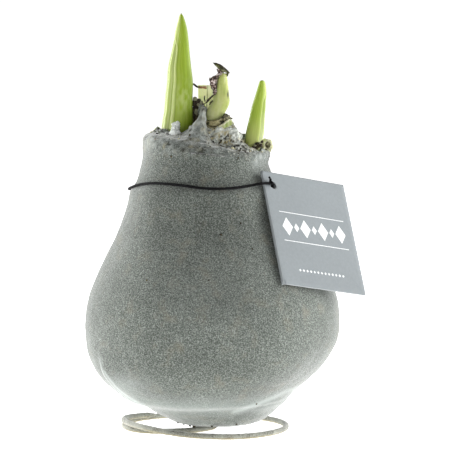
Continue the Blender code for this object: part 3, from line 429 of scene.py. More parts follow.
def skin(rings, across=None, along=None, ends="fan", values=None):
    """A closed surface through closed rings of equal counts, as points, faces, places and values.

    Neighbouring points and rings make four-sided faces. The ends are closed by a fan to the middle of
    the ring, by pairing the ring's first half with its second, or by joining the last ring to the
    first. Places are two shares, across the ring and along the rows, for each corner of each face.
    """
    rings = np.asarray(rings, float)
    rows, columns = rings.shape[:2]
    across = np.linspace(0, 1, columns + 1) if across is None else np.append(across, across[0])
    along = np.linspace(0, 1, rows) if along is None else along
    points = rings.reshape(-1, 3)
    values = {name: np.asarray(value, float).reshape(-1) for name, value in (values or {}).items()}
    column = np.arange(columns)
    beside = (column + 1) % columns
    row = np.arange(rows if ends == "join" else rows - 1)[:, None]
    low, high = row * columns, (row + 1) % rows * columns
    quads = np.stack([low + column, low + beside, high + beside, high + column], axis=-1).reshape(-1, 4)
    top = along[(row + 1) % rows] + 0 * column
    left, right = across[column] + 0.0 * row, across[column + 1] + 0.0 * row
    bottom = along[row] + 0 * column
    places = np.stack([left, bottom, right, bottom, right, top, left, top], axis=-1).reshape(-1, 4, 2)
    faces, spots = quads.tolist(), places.reshape(-1, 2)
    if ends == "fan":
        last = (rows - 1) * columns
        centres = [rings[0].mean(axis=0), rings[-1].mean(axis=0)]
        middle = np.full(columns, len(points))
        faces += np.column_stack([middle, beside, column]).tolist()
        faces += np.column_stack([middle + 1, last + column, last + beside]).tolist()
        points = np.vstack([points, centres])
        half = (across[:-1] + across[1:]) / 2
        for edge, order in ((along[0], (1, 0)), (along[-1], (0, 1))):
            sides = [across[column + step] for step in order]
            at = np.full(columns, edge)
            fan = np.stack([half, at, sides[0], at, sides[1], at], axis=-1)
            spots = np.vstack([spots, fan.reshape(-1, 2)])
        for name, value in values.items():
            ring = value.reshape(rows, columns)
            values[name] = np.append(value, [ring[0].mean(), ring[-1].mean()])
    if ends == "pair":
        half = np.arange(columns // 2 - 1)
        for base, turn in ((0, 1), ((rows - 1) * columns, -1)):
            pair = base + np.column_stack([half + 1, half, columns - 1 - half, columns - 2 - half])
            pair = pair[:, ::turn]
            faces += pair.tolist()
            at = np.full(pair.shape, along[0 if turn == 1 else -1])
            spots = np.vstack([spots, np.stack([across[pair - base], at], axis=-1).reshape(-1, 2)])
    return points, faces, spots, values


def blade(outer, inner, values=None):
    """A thin leaf between two grids of rows: each ring runs along the outer row and back on the inner."""
    share = np.linspace(0, 1, outer.shape[1])
    rings = np.concatenate([outer, inner[:, ::-1]], axis=1)
    values = {name: np.concatenate([value, value[:, ::-1]], axis=1) for name, value in values.items()}
    return skin(rings, np.concatenate([share, share[::-1]]), ends="pair", values=values)


def tube(way, radius, sides, seed=None, rough=0.0):
    """Rings round a path: the sideways direction stays level and the other is square to it and the path.

    The radius may vary along the path, and rough adds clumps to it. Where the path is steep, sideways
    stays as it was before.
    """
    ahead = np.gradient(way, axis=0)
    ahead /= np.linalg.norm(ahead, axis=1, keepdims=True)
    heading = ahead[:, :2] + [1e-9, 0]
    level = np.where(np.linalg.norm(heading, axis=1) > 0.05, np.arange(len(way)), 0)
    heading = heading[np.maximum.accumulate(level)]
    heading = heading / np.linalg.norm(heading, axis=1, keepdims=True)
    aside = np.column_stack([heading[:, 1], -heading[:, 0], np.zeros(len(way))])
    above = np.cross(aside, ahead)
    around = round_angles(sides)[None, :, None]
    size = np.broadcast_to(np.asarray(radius, float), (len(way),))[:, None, None]
    offset = size * (np.cos(around) * aside[:, None] + np.sin(around) * above[:, None])
    rings = way[:, None] + offset
    if rough:
        rings = rings + offset / size * rough * grain(rings, rough * 6, seed)[..., None]
    return rings


def upright(x, y, wide, deep, around, height):
    """Points round an upright axis beside the neck's: half sizes times cosine and sine, at a height."""
    parts = NECK_X + x + wide * np.cos(around), y + deep * np.sin(around), height
    return np.stack(np.broadcast_arrays(*parts), axis=-1)


def lump(centre, radii, seed, rough=0.25, rows=9, columns=14, tilt=0.0):
    """A rounded lump: rings of latitude of an ellipsoid, pushed in and out by clumps, then tilted."""
    polar = np.linspace(0.12, math.pi - 0.12, rows)[::-1, None]
    around = round_angles(columns)[None, :]
    parts = np.sin(polar) * np.cos(around), np.sin(polar) * np.sin(around), np.cos(polar) + 0 * around
    shape = np.stack(parts, axis=-1)
    size = 1 + rough * grain(shape * 1.3 + seed * 7.7, 1.0, seed)[..., None]
    x, y, z = np.moveaxis(shape * size * radii, -1, 0)
    across = x * math.cos(tilt) + z * math.sin(tilt)
    return np.stack([across, y, z * math.cos(tilt) - x * math.sin(tilt)], axis=-1) + centre


def facing_out(points, faces, spots):
    """Faces and their places, turned over where the volume that they enclose is negative.

    The volume is summed from the faces' triangles. It is positive where they point out.
    """
    first = np.array([face[0] for face in faces])
    centred = points - points.mean(axis=0)
    volume = 0.0
    for step in (1, 2):
        second = np.array([face[step] for face in faces])
        third = np.array([face[min(step + 1, len(face) - 1)] for face in faces])
        volume += np.einsum("ij,ij->", centred[first], np.cross(centred[second], centred[third]))
    if volume >= 0:
        return faces, spots
    ends = np.cumsum([len(face) for face in faces])
    order = np.concatenate([np.arange(end, end - len(face), -1) - 1 for end, face in zip(ends, faces)])
    return [face[::-1] for face in faces], spots[order]


def make_piece(name, surfaces, material, replaced=(), flat=False):
    """One object of one or more closed surfaces, with their places as its UV map. It rides on the body."""
    points, faces, spots, values, start = [], [], [], {}, 0
    for its_points, its_faces, its_spots, its_values in surfaces:
        its_faces, its_spots = facing_out(its_points, its_faces, its_spots)
        points.append(its_points + [AXIS_X, 0, 0])
        faces += [[corner + start for corner in face] for face in its_faces]
        spots.append(its_spots)
        for key, value in its_values.items():
            values.setdefault(key, []).append(value)
        start += len(its_points)
    mesh = bpy.data.meshes.new(name)
    mesh.from_pydata(np.vstack(points).tolist(), [], faces)
    layer = mesh.uv_layers.new(name="place")
    layer.data.foreach_set("uv", np.vstack(spots).astype(np.float32).reshape(-1))
    for key, value in values.items():
        attribute = mesh.attributes.new(key, "FLOAT", "POINT")
        attribute.data.foreach_set("value", np.concatenate(value).astype(np.float32))
    mesh.polygons.foreach_set("use_smooth", np.full(len(mesh.polygons), not flat))
    mesh.materials.append(material)
    mesh.update()
    made = bpy.data.objects.new(name, mesh)
    bpy.context.scene.collection.objects.link(made)
    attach(made, "root")
    if replaced:
        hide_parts(*replaced)


# The body's shape


def rim_height(angle):
    """The rim's level: tilted by the cosine of the angle, and broken down at the front right."""
    dip = RIM_DIP * bell(turned(angle - RIM_DIP_ANGLE), RIM_DIP_SPREAD)
    return RIM_HEIGHT - RIM_TILT * np.cos(angle) - dip


def mouth_radius(angle):
    """How far the torn edge of the wax is from the neck's axis."""
    return through_round(MOUTH, np.degrees(angle))[..., 0]


def relief(level, angle):
    """How far the wax stands out: a crease round the foot, a fold at the lower left, and soft waves."""
    crease = -CREASE_DEPTH * bell(level - CREASE_LEVEL, 0.35)
    past = turned(angle - FOLD_ANGLE)
    fold = np.where(past > 0, FOLD_CREST * np.exp(-past / 0.35), -FOLD_DROP * np.exp(past / 0.5))
    window = eased((level - 3.4) / 0.8) * eased((9.5 - level) / 1.5)
    belly = eased((level - 5) / 4) * eased((TOP_LEVEL - level) / 8)
    waves = LUMP_HEIGHT * belly * (np.sin(4 * angle) + 0.6 * np.sin(7 * angle + 0.3 * level))
    return crease + fold * window + waves


def wall(level, angle, depth=0.0):
    """Points of the body at this level and angle, this deep under the wax's outer face.

    The outline gives height, radius and lean. Depth is taken square to the outline, relief along the
    radius, and the neck is stretched so that its top meets the rim.
    """
    level, angle = np.broadcast_arrays(np.asarray(level, float), np.asarray(angle, float))
    climb = CREASE_CLIMB * (0.5 + 0.5 * np.cos(angle)) ** 2
    there = level + climb * bell(level - CREASE_LEVEL, 2.0)
    height, radius, lean = np.moveaxis(through(OUTLINE_BY_LEVEL, there), -1, 0)
    slope = through(OUTLINE_BY_LEVEL, there + 0.02) - through(OUTLINE_BY_LEVEL, there - 0.02)
    rise, spread = slope[..., 0], slope[..., 1]
    steep = np.hypot(rise, spread)
    radius = radius - depth * rise / steep
    height = height + depth * spread / steep
    if depth <= 0:
        radius = radius + relief(level, angle)
    stretch = (rim_height(angle) - NECK_START) / (RIM_HEIGHT - NECK_START)
    height = np.where(height > NECK_START, NECK_START + (height - NECK_START) * stretch, height)
    return np.stack([lean + radius * np.cos(angle), radius * np.sin(angle), height], axis=-1)


def neck_reach(level, angle, depth=0.0):
    """How far the body's wall at this level and depth is from the neck's axis in plan."""
    there = wall(level, angle, depth)
    return np.hypot(there[:, 0] - NECK_X, there[:, 1])


def neck_ring(radius, height, angle):
    """Points about the neck's axis."""
    return upright(0, 0, radius, radius, angle, height)


def distance(radius, angle, spot):
    """How far points about the neck's axis are from a spot in plan."""
    return np.hypot(radius * np.cos(angle) - spot[0], radius * np.sin(angle) - spot[1])


def covered_top(radius, angle):
    """Height of the bulb's cut neck where wax covers it: below the rim, with a collar round the stub."""
    collar = COLLAR_HEIGHT * np.exp(-((distance(radius, angle, COLLAR) / COLLAR_RADIUS) ** 4))
    return rim_height(angle) - SCALE_SETBACK + collar


def scale_top(radius, angle):
    """Height of the bulb's cut neck, which rises in a bell-shaped mound inside the mouth."""
    inside = eased((mouth_radius(angle) - radius) / 0.0016)
    mound = MOUND_HEIGHT * bell(distance(radius, angle, MOUND), MOUND_RADIUS)
    return covered_top(radius, angle) + (SCALE_RISE + mound) * inside


def mouth_height(angle):
    """Height of the torn edge: near the rim, with the tongue at the stub and the higher laps."""
    past = turned(angle - TONGUE_ANGLE)
    tongue = np.where(past < 0, bell(past, TONGUE_SPREADS[0]), bell(past, TONGUE_SPREADS[1]))
    laps = sum(height * bell(turned(angle - place), spread) for place, height, spread in LAPS)
    return rim_height(angle) + EDGE_RISE + TONGUE_HEIGHT * tongue + laps


def even_levels(start, stop, step):
    """Outline levels from start to stop whose points lie about one step apart along the outline."""
    fine = np.linspace(start, stop, 600)
    line = through(OUTLINE_BY_LEVEL, fine)[:, :2]
    along = np.concatenate([[0], np.cumsum(np.linalg.norm(np.diff(line, axis=0), axis=1))])
    return np.interp(np.linspace(0, along[-1], int(along[-1] / step)), along, fine)


# Materials


def node(tree, kind, values=None, **settings):
    """A new node: settings are its properties, and each value is a number, a colour or a socket."""
    made = tree.nodes.new(kind)
    for key, value in settings.items():
        setattr(made, key, value)
    for key, value in (values or {}).items():
        if isinstance(value, bpy.types.NodeSocket):
            tree.links.new(value, made.inputs[key])
        else:
            made.inputs[key].default_value = value
    return made


def colour(red, green, blue):
    """A screen colour from 0 to 255 as linear light, by the usual two-part curve."""
    shares = np.array((red, green, blue)) / 255
    light = np.where(shares <= 0.04045, shares / 12.92, ((shares + 0.055) / 1.055) ** 2.4)
    return (*light.tolist(), 1.0)


def math_node(tree, operation, first, second=0.5, third=0.5):
    """The result of an operation on numbers or sockets."""
    return node(tree, "ShaderNodeMath", {0: first, 1: second, 2: third}, operation=operation).outputs[0]


def mixed(tree, share, first, second, blend="MIX"):
    """Two colours blended by a share. The second is a socket or a screen colour."""
    second = colour(*second) if isinstance(second, tuple) else second
    values = {0: share, 6: first, 7: second}
    return node(tree, "ShaderNodeMix", values, data_type="RGBA", blend_type=blend).outputs[2]


def ramp(tree, share, stops):
    """A colour or a grey looked up from stops: a position, then a grey or a screen colour."""
    made = node(tree, "ShaderNodeValToRGB", {0: share})
    elements = made.color_ramp.elements
    while len(elements) < len(stops):
        elements.new(0.5)
    for element, (position, *tone) in zip(elements, stops):
        element.position = position
        element.color = colour(*tone) if len(tone) == 3 else (*tone * 3, 1)
    return made.outputs[0]


def field(tree, scale, detail=2.0, roughness=0.6, stretch=(1, 1, 1), source="Object", offset=0.0):
    """Clouds on the object's own coordinates or on its places, stretched by the given scales."""
    coordinates = node(tree, "ShaderNodeTexCoord").outputs[source]
    values = {"Vector": coordinates, "Scale": stretch, "Location": (offset,) * 3}
    placed = node(tree, "ShaderNodeMapping", values).outputs[0]
    values = {"Vector": placed, "Scale": scale, "Detail": detail, "Roughness": roughness}
    return node(tree, "ShaderNodeTexNoise", values).outputs["Fac"]


def painted(tree, name):
    """A value that the mesh carries at its points."""
    return node(tree, "ShaderNodeAttribute", attribute_name=name).outputs["Fac"]


def painted_over(tree, tone, **colours):
    """The tone, blended to each colour in turn by the value of that name on the mesh."""
    for name, over in colours.items():
        tone = mixed(tree, painted(tree, name), tone, over)
    return tone


def new_material(name, roughness, sheen=0.0, sheen_roughness=0.5, specular=0.5, subsurface=0.0):
    """A material with these constants on its shader; returns it with its tree and its shader."""
    material = bpy.data.materials.new(name)
    material.use_nodes = True
    shader = material.node_tree.nodes["Principled BSDF"]
    shader.inputs["Roughness"].default_value = roughness
    shader.inputs["Sheen Weight"].default_value = sheen
    shader.inputs["Sheen Roughness"].default_value = sheen_roughness
    shader.inputs["Specular IOR Level"].default_value = specular
    if subsurface:
        shader.inputs["Subsurface Weight"].default_value = subsurface
        shader.inputs["Subsurface Scale"].default_value = 0.002
        shader.inputs["Subsurface Radius"].default_value = (0.6, 1.0, 0.3)
    return material, material.node_tree, shader


def finished(tree, shader, tone, height=None, depth=0.0, strength=1.0):
    """Joins the colour to the shader, and a bump of this depth in metres where a height is given."""
    tree.links.new(tone, shader.inputs["Base Color"])
    if height is not None:
        values = {"Height": height, "Distance": depth, "Strength": strength}
        tree.links.new(node(tree, "ShaderNodeBump", values).outputs[0], shader.inputs["Normal"])


def flocked_material(name, dark, middle, light, pale, scale=2300, depth=0.00022):
    """Short velvet fibres: a fine three-tone speckle in soft patches, and painted places: worn, dirty and
    warm ones, and painted highlights, painted light and painted shade.
    """
    material, tree, shader = new_material(name, 0.95, sheen=0.75, sheen_roughness=0.38, specular=0.15)
    speckle = field(tree, scale, 2.0, 0.8)
    tone = ramp(tree, speckle, ((0.36, *dark), (0.50, *middle), (0.64, *light)))
    patches = ramp(tree, field(tree, 95, 3.0, 0.55, offset=3.1), ((0.35, 0.90), (0.65, 1.06)))
    tone = mixed(tree, 1.0, tone, patches, "MULTIPLY")
    dusty = ramp(tree, field(tree, 160, 2.0, 0.6, offset=7.7), ((0.55, 0.0), (0.75, 0.30)))
    tone = mixed(tree, dusty, tone, (146, 138, 118))
    # pale and dark carry real wear and dirt, and also painted light, painted highlights and painted shade
    tone = painted_over(tree, tone, warm=(196, 184, 140), pale=pale, dark=(34, 34, 28))
    finished(tree, shader, tone, field(tree, scale * 0.8, 2.0, 0.7, offset=1.3), depth, 0.8)
    return material


def leaf_material(name, pale, green, deep, foot):
    """A smooth leaf: fine veins along it, from pale to deep green across, and blanched at its foot."""
    material, tree, shader = new_material(name, 0.42, specular=0.25, subsurface=0.10)
    veins = field(tree, 1.0, 3.0, 0.6, (34, 0.9, 1), "UV")
    fine = field(tree, 1.0, 2.0, 0.5, (120, 2.5, 1), "UV", 4.0)
    side = math_node(tree, "MULTIPLY_ADD", veins, 0.55, painted(tree, "side"))
    side = math_node(tree, "MULTIPLY_ADD", fine, 0.20, side)
    tone = ramp(tree, side, ((0.30, *deep), (0.62, *green), (1.0, *pale)))
    tone = painted_over(tree, tone, foot=foot, rim=pale, line=(104, 112, 62))
    finished(tree, shader, tone, veins, 0.00015, 0.5)
    return material


def flesh_material(
    name, stops, scale, depth=0.0002, roughness=0.6, subsurface=0.1, dark=(44, 34, 22), glow=0.0
):
    """Cut or weathered plant: colours looked up from blotches, and paler and darker where painted so.

    Where glow is given, the colour is also emitted: a painted glow, no lamp, that stands in for light shining
    through a thin pale leaf and lifts shade.
    """
    material, tree, shader = new_material(name, roughness, specular=0.3, subsurface=subsurface)
    tone = ramp(tree, field(tree, scale, 4.0, 0.65), stops)
    tone = painted_over(tree, tone, pale=(214, 214, 178), dark=dark)
    # Painted glow: the plant's own colour emitted as light
    if glow:
        tree.links.new(tone, shader.inputs["Emission Color"])
        shader.inputs["Emission Strength"].default_value = glow
    finished(tree, shader, tone, field(tree, scale * 3, 3.0, 0.7, offset=2.0), depth)
    return material


def cord_material():
    """Black elastic: two crossing sets of diagonal ribs on its places make the braid."""
    material, tree, shader = new_material("black braided elastic", 0.75, specular=0.12)
    place = node(tree, "ShaderNodeTexCoord").outputs["UV"]
    ribs = []
    for slant in (2.0, -2.0):
        slanted = node(tree, "ShaderNodeMapping", {"Vector": place, "Scale": (slant, 230.0, 1)}).outputs[0]
        values = {"Vector": slanted, "Scale": 1.0}
        ribs.append(node(tree, "ShaderNodeTexWave", values, bands_direction="DIAGONAL").outputs["Fac"])
    braid = math_node(tree, "MULTIPLY", *ribs)
    tone = ramp(tree, braid, ((0.0, 3, 3, 4), (0.8, 26, 26, 28)))
    finished(tree, shader, tone, braid, 0.00012)
    return material


def card_material():
    """Smooth grey card, with faint fibres in it and a pale core where it is cut."""
    material, tree, shader = new_material("grey card", 0.55, specular=0.35)
    fibres = field(tree, 900, 4.0, 0.7)
    tone = ramp(tree, fibres, ((0.3, 131, 138, 141), (0.7, 138, 145, 148)))
    clouds = ramp(tree, field(tree, 60, 2.0, 0.5, offset=5.0), ((0.3, 0.97), (0.7, 1.02)))
    tone = mixed(tree, 1.0, tone, clouds, "MULTIPLY")
    tone = painted_over(tree, tone, core=(226, 230, 230))
    finished(tree, shader, tone, fibres, 0.00003, 0.5)
    return material


def ink_material():
    """White print on the card, a little thin over its fibres."""
    material, tree, shader = new_material("white print", 0.5)
    finished(tree, shader, ramp(tree, field(tree, 1400, 2.0), ((0.3, 222, 226, 227), (0.6, 244, 246, 246))))
    return material


def floor_material():
    """A white table that glows faintly, so that it stays white round the object."""
    material, tree, shader = new_material("white table", 0.9, specular=0.0)
    finished(tree, shader, ramp(tree, field(tree, 3.0), ((0.3, 0.93), (0.7, 0.95))))
    shader.inputs["Emission Color"].default_value = (1, 1, 1, 1)
    shader.inputs["Emission Strength"].default_value = 0.95
    return material


# Flocked finishes: the speckle's dark, middle and light tones, and the pale of worn places, also used for
# painted light and painted highlights
WAX = flocked_material("grey flocked wax", (71, 76, 69), (104, 110, 104), (158, 164, 157), (184, 191, 187))
CRUST = flocked_material(
    "torn wax and dry skin", (66, 66, 54), (128, 130, 118), (196, 198, 186), (222, 226, 218), 1100, 0.0004
)
WHITE_WAX = flocked_material(
    "white wax", (150, 154, 148), (198, 204, 198), (232, 236, 232), (242, 246, 242), 1100, 0.0004
)
WIRE = flocked_material("grey flocked wire", (84, 82, 72), (130, 131, 122), (176, 178, 168), (190, 191, 180))

# Leaves: the pale side, the green, the deep side and the blanched foot
LEFT_LEAF = leaf_material("left shoot leaf", (214, 222, 158), (154, 176, 58), (128, 152, 30), (168, 176, 100))
RIGHT_LEAF = leaf_material(
    "right shoot leaf", (206, 217, 146), (168, 190, 76), (150, 175, 48), (196, 203, 126)
)
PALE_LEAF = leaf_material(
    "shoot inner leaf", (214, 221, 168), (178, 193, 110), (138, 160, 68), (204, 210, 164)
)

# Cut and dry plant: a position and a colour for each stop of the blotches
# The stub's small glow is painted light that lifts the shade on its foot
STUB_FLESH = flesh_material(
    "cut stub flesh", ((0.30, 156, 172, 84), (0.50, 180, 190, 106), (0.70, 200, 203, 136)), 150, glow=0.05
)
SCALE_FLESH = flesh_material(
    "cut neck scales",
    (
        (0.30, 96, 92, 66), (0.42, 158, 154, 116), (0.52, 190, 186, 150), (0.62, 172, 176, 130),
        (0.74, 228, 228, 216),
    ),
    620,
)
BAND = flesh_material(
    "withered band",
    ((0.30, 140, 130, 86), (0.48, 198, 188, 142), (0.66, 226, 218, 178)),
    700, dark=(38, 38, 18),
)
# Its pale pinkish top stop is partly the skin's own pale colour and partly painted highlights
DRY = flesh_material(
    "dried dark scale",
    ((0.32, 18, 14, 10), (0.48, 46, 38, 22), (0.60, 82, 76, 42), (0.72, 176, 152, 134)),
    620, roughness=0.5, subsurface=0.0,
)
# Its near-white stop is partly the skin's own pale colour and partly painted highlights on the crinkles
CRUMPLED = flesh_material(
    "crumpled dry skin",
    ((0.36, 12, 8, 8), (0.46, 52, 34, 28), (0.52, 160, 132, 120), (0.58, 246, 234, 228)),
    780, depth=0.0003, roughness=0.45, subsurface=0.0,
)
CAP = flesh_material(
    "dried leaf end",
    ((0.34, 40, 42, 22), (0.50, 74, 78, 40), (0.66, 112, 114, 68)),
    800, roughness=0.5, subsurface=0.0,
)
GREEN_SCALE = flesh_material(
    "green cut scale", ((0.34, 120, 140, 62), (0.50, 150, 168, 84), (0.66, 178, 190, 116)), 500
)
# The pale leaf foot glows: painted light that stands in for light shining through it from behind
CREAM = flesh_material(
    "pale leaf foot", ((0.34, 196, 202, 128), (0.50, 224, 228, 168), (0.66, 240, 242, 204)), 220, glow=0.27
)
REDDISH = flesh_material(
    "reddish dry edge",
    ((0.35, 104, 62, 50), (0.55, 168, 120, 98), (0.70, 206, 172, 140)),
    900, subsurface=0.0,
)
CORD = cord_material()
CARD = card_material()
INK = ink_material()


# The wax

WAX_COLUMNS, WAX_STEP = 360, 0.00078
BASE_HOLE_LEVEL = 0.17
# Levels under the rim where the wax starts to be broken, and how much lower that is at the front
# right; how much smoother the left is
BROKEN_START, BROKEN_LOWER, BROKEN_ANGLE, BROKEN_SPREAD = 1.5, 1.2, math.radians(-62), 0.45
SMOOTHER, SMOOTH_ANGLE, SMOOTH_SPREAD = 0.85, math.radians(-165), 0.95
# The base is pressed up over the wire: how far from it, how softly, and with what clearance
DENT_REACH, DENT_EASE, DENT_CLEARANCE = 0.0026, 0.0012, 0.0002

# Folds low on the body: their line in the picture, its half width, the strength of the painted highlight
# along it and of the painted shade below it
LEFT_FOLD = ((104.0, 371.0), (110.0, 380.0), (118.0, 389.0), (128.0, 397.0), (140.0, 404.0), (150.0, 409.0))
RIGHT_FOLD = ((232.0, 412.5), (240.0, 410.5), (255.0, 405.0), (270.0, 399.0), (285.0, 392.0), (300.0, 386.5))
SMALL_FOLD = ((122.0, 359.0), (126.0, 366.0), (130.0, 374.0))
FOLD_LINES = (
    (LEFT_FOLD, 1.2, 0.75, 0.10),
    (RIGHT_FOLD, 2.0, 0.50, 0.16),
    (SMALL_FOLD, 1.0, 0.35, 0.0),
)

# Marks on the body and the torn neck by place in the picture: across, down, half width, half height
# and strength
# The broad spot low at the left, at 124 and 386, and the faint wide one over the middle, at 215 and 300, are
# painted light
PALE_SPOTS = (
    (233.6, 132.0, 3.4, 3.2, 1.0), (177.0, 131.5, 3.6, 3.0, 0.65), (223.8, 145.6, 1.4, 1.3, 0.9),
    (232.4, 143.2, 1.8, 1.0, 0.9), (237.4, 147.4, 1.4, 0.9, 0.8), (217.2, 141.6, 1.2, 1.1, 0.8),
    (228.6, 146.6, 1.6, 0.9, 0.8), (214.6, 139.4, 1.6, 0.8, 0.6), (124.0, 386.0, 22.0, 12.0, 0.35),
    (226.0, 129.5, 4.0, 1.4, 0.5), (262.0, 150.5, 6.0, 1.8, 0.8), (261.0, 157.0, 6.0, 5.0, 0.5),
    (257.0, 163.0, 6.0, 8.0, 0.35), (230.0, 147.0, 7.0, 5.0, 0.15), (227.0, 154.0, 5.0, 4.0, 0.20),
    (224.0, 137.0, 6.0, 4.0, 0.35), (238.0, 136.5, 4.0, 1.6, 0.6), (222.5, 144.5, 0.7, 4.0, 0.7),
    (202.0, 114.0, 5.0, 6.0, 0.45), (203.0, 108.0, 3.5, 6.0, 0.40), (200.0, 123.0, 7.0, 5.0, 0.45),
    (160.5, 131.0, 3.0, 1.5, 0.5), (215.0, 300.0, 60.0, 45.0, 0.08), (149.0, 139.0, 6.0, 9.0, 0.30),
    (194.0, 129.0, 9.0, 5.0, 0.25),
)
# The broad spot low in the middle, at 205 and 368, is painted shade
DARK_SPOTS = (
    (214.2, 131.2, 1.0, 0.8, 0.9), (205.5, 135.6, 2.6, 0.9, 0.8), (209.4, 130.6, 1.5, 0.9, 0.7),
    (213.4, 135.2, 1.4, 0.9, 0.8), (208.6, 133.6, 1.2, 0.7, 0.7), (225.0, 142.4, 0.9, 0.9, 0.8),
    (234.6, 146.2, 1.3, 0.8, 0.8), (205.0, 368.0, 46.0, 14.0, 0.12), (210.8, 137.0, 1.6, 0.8, 0.8),
    (220.4, 141.2, 0.8, 1.6, 0.9), (218.9, 144.8, 0.7, 1.6, 0.9), (220.8, 148.4, 1.0, 1.4, 0.8),
    (229.4, 138.6, 1.6, 0.9, 0.9), (227.8, 141.4, 1.2, 0.9, 0.9), (241.6, 142.6, 3.0, 1.6, 0.95),
    (239.0, 145.0, 1.4, 0.9, 0.9), (245.4, 149.6, 1.8, 1.4, 0.9), (235.6, 150.6, 1.4, 0.9, 0.6),
    (239.0, 150.0, 3.5, 2.0, 0.55), (228.0, 146.5, 2.2, 1.2, 0.6), (243.5, 147.0, 2.5, 1.8, 0.7),
    (233.0, 141.0, 1.6, 1.1, 0.7), (236.0, 155.0, 3.0, 2.0, 0.22), (208.0, 123.2, 1.3, 1.1, 1.0),
    (216.0, 424.8, 4.0, 1.3, 0.7), (212.0, 418.5, 9.0, 1.6, 0.18), (222.0, 425.4, 5.0, 0.9, 0.5),
    (193.0, 425.2, 3.2, 1.2, 0.6), (178.0, 422.0, 2.0, 0.8, 0.5), (236.0, 423.0, 2.0, 0.8, 0.4),
    (157.8, 128.6, 1.8, 0.8, 0.85), (257.6, 145.2, 2.6, 1.0, 0.7),
)
WARM_SPOTS = (
    (219.0, 130.5, 8.0, 3.6, 0.85), (232.0, 128.5, 5.0, 2.0, 0.4), (243.5, 135.5, 3.0, 2.0, 0.6),
    (212.0, 128.5, 3.0, 2.0, 0.6), (203.0, 114.0, 5.0, 7.0, 0.35), (256.0, 148.0, 5.0, 1.6, 0.5),
)


def ragged(angle, size, seed):
    """A closed random wave round the neck: clumps read on a circle."""
    return grain(level_circle(angle) * 0.015, size, seed)


def wax_outside(angle):
    """Rows of the wax from the hole in its base up the outside, over the rim and in to the torn edge.

    The rim is a quarter circle, wider at the left and round the tongue. From it the top goes to the
    torn edge, whose height comes in by a power of the share, which is lower round the tongue.
    """
    rightness = 0.5 + 0.5 * np.cos(angle)
    last = TOP_LEVEL - 0.6 + 0.5 * rightness
    nominal = TOP_LEVEL - 0.35
    levels = even_levels(BASE_HOLE_LEVEL, nominal, WAX_STEP)[:, None] - BASE_HOLE_LEVEL
    levels = BASE_HOLE_LEVEL + levels * (last - BASE_HOLE_LEVEL) / (nominal - BASE_HOLE_LEVEL)
    side = wall(levels, angle[None, :])
    front = bell(turned(angle - TONGUE_ANGLE), FRONT_SPREAD)
    rounding = ROUNDING_LEFT + (ROUNDING_RIGHT - ROUNDING_LEFT) * rightness + FRONT_ROUNDING * front
    crest = neck_reach(last, angle) - rounding
    rim = rim_height(angle)
    mouth = mouth_radius(angle) + 0.0005 * ragged(angle, 0.0022, 11)
    edge = mouth_height(angle) + 0.0006 * ragged(angle, 0.0020, 21)
    turn = np.radians(np.linspace(8, 90, 9))[:, None]
    arc = neck_ring(crest + rounding * np.cos(turn), rim - rounding * (1 - np.sin(turn)), angle)
    share = np.linspace(0.05, 0.97, 26)[:, None]
    radius = crest + (mouth + 0.0004 - crest) * share
    top = neck_ring(radius, rim + (edge - rim) * share ** (CAP_POWER - FRONT_EASING * front), angle)
    level = np.concatenate([levels, np.full((len(arc) + len(top), len(angle)), TOP_LEVEL)])
    return np.concatenate([side, arc, top]), level, mouth, edge


def wire_dent(points):
    """The base pressed up over the wire's leg: points near it in plan rise until they clear it."""
    leg = ring_way(120)
    leg = leg[np.hypot(leg[:, 0] - RING_X - SPIKE_X, leg[:, 1]) < 0.017]
    low = leg[leg[:, 2] < 0.004]
    flat = points.reshape(-1, 3).copy()
    near = np.flatnonzero((flat[:, 2] < 0.006) & (np.hypot(flat[:, 0], flat[:, 1]) < 0.02))
    gaps = np.linalg.norm(flat[near, None, :2] - low[None, :, :2], axis=2)
    top = low[gaps.argmin(axis=1), 2] + WIRE_RADIUS + DENT_CLEARANCE
    share = eased((DENT_REACH - gaps.min(axis=1)) / DENT_EASE)
    flat[near, 2] += np.maximum(top - flat[near, 2], 0) * share
    return flat.reshape(points.shape)


def wax_marks(points, level, angle):
    """Where the wax is paler, darker or warmer: painted highlights along the folds, painted light low on the
    body, pale worn wax near the torn rim, dark pits, and painted shade on the shoulder, the neck, low on the
    belly and under the folds.
    """
    past = turned(angle - FOLD_ANGLE)
    window = eased((level - 3.0) / 1.0) * eased((9.8 - level) / 2.0)
    # Painted highlight along the crest of the fold at the lower left
    fold = 0.75 * bell(past - 0.02, 0.035) * window
    height = points[..., 2]
    # Painted shade: darker over the shoulder and neck, and in a band low on the body
    shade = 0.15 * eased((height - 0.068) / 0.012) + 0.06 * bell(height - 0.024, 0.008)
    across, down = seen_place(points)
    front = points[..., 1] < 0
    # Each fold line adds a painted highlight along it and painted shade just below it
    for places, half, light, under in FOLD_LINES:
        line = np.array(places)
        gap = down - np.interp(across, line[:, 0], line[:, 1])
        reach = eased((across - line[0, 0] + 3) / 6) * eased((line[-1, 0] + 3 - across) / 6) * front
        fold = fold + light * bell(gap, half) * reach
        shade = shade + under * bell(gap - 2.6 * half, 1.6 * half) * reach
    # Painted light: a pale band low on the body, where the floor's light falls
    foot = 0.45 * bell(height - 0.0120, 0.0034)
    rim = eased((level - TOP_LEVEL + 0.8) / 0.8)
    torn = eased((height - 0.103) / 0.006)
    bare = torn * np.clip(0.14 + 0.60 * grain(points, 0.0013, 41), 0, 1)
    pale = np.clip(fold + foot + 0.8 * bare + spots_on(points, PALE_SPOTS), 0, 1)
    pits = np.clip((grain(points, 0.0016, 51) - 0.45) * 3, 0, 1) * torn * (0.4 + 0.6 * rim)
    dark = np.clip(np.maximum(pits, spots_on(points, DARK_SPOTS)) + shade, 0, 0.95)
    warm = torn * np.clip(0.5 * grain(points, 0.0020, 42) - 0.1, 0, 0.3)
    return {"pale": pale, "dark": dark, "warm": np.clip(warm + spots_on(points, WARM_SPOTS), 0, 1)}


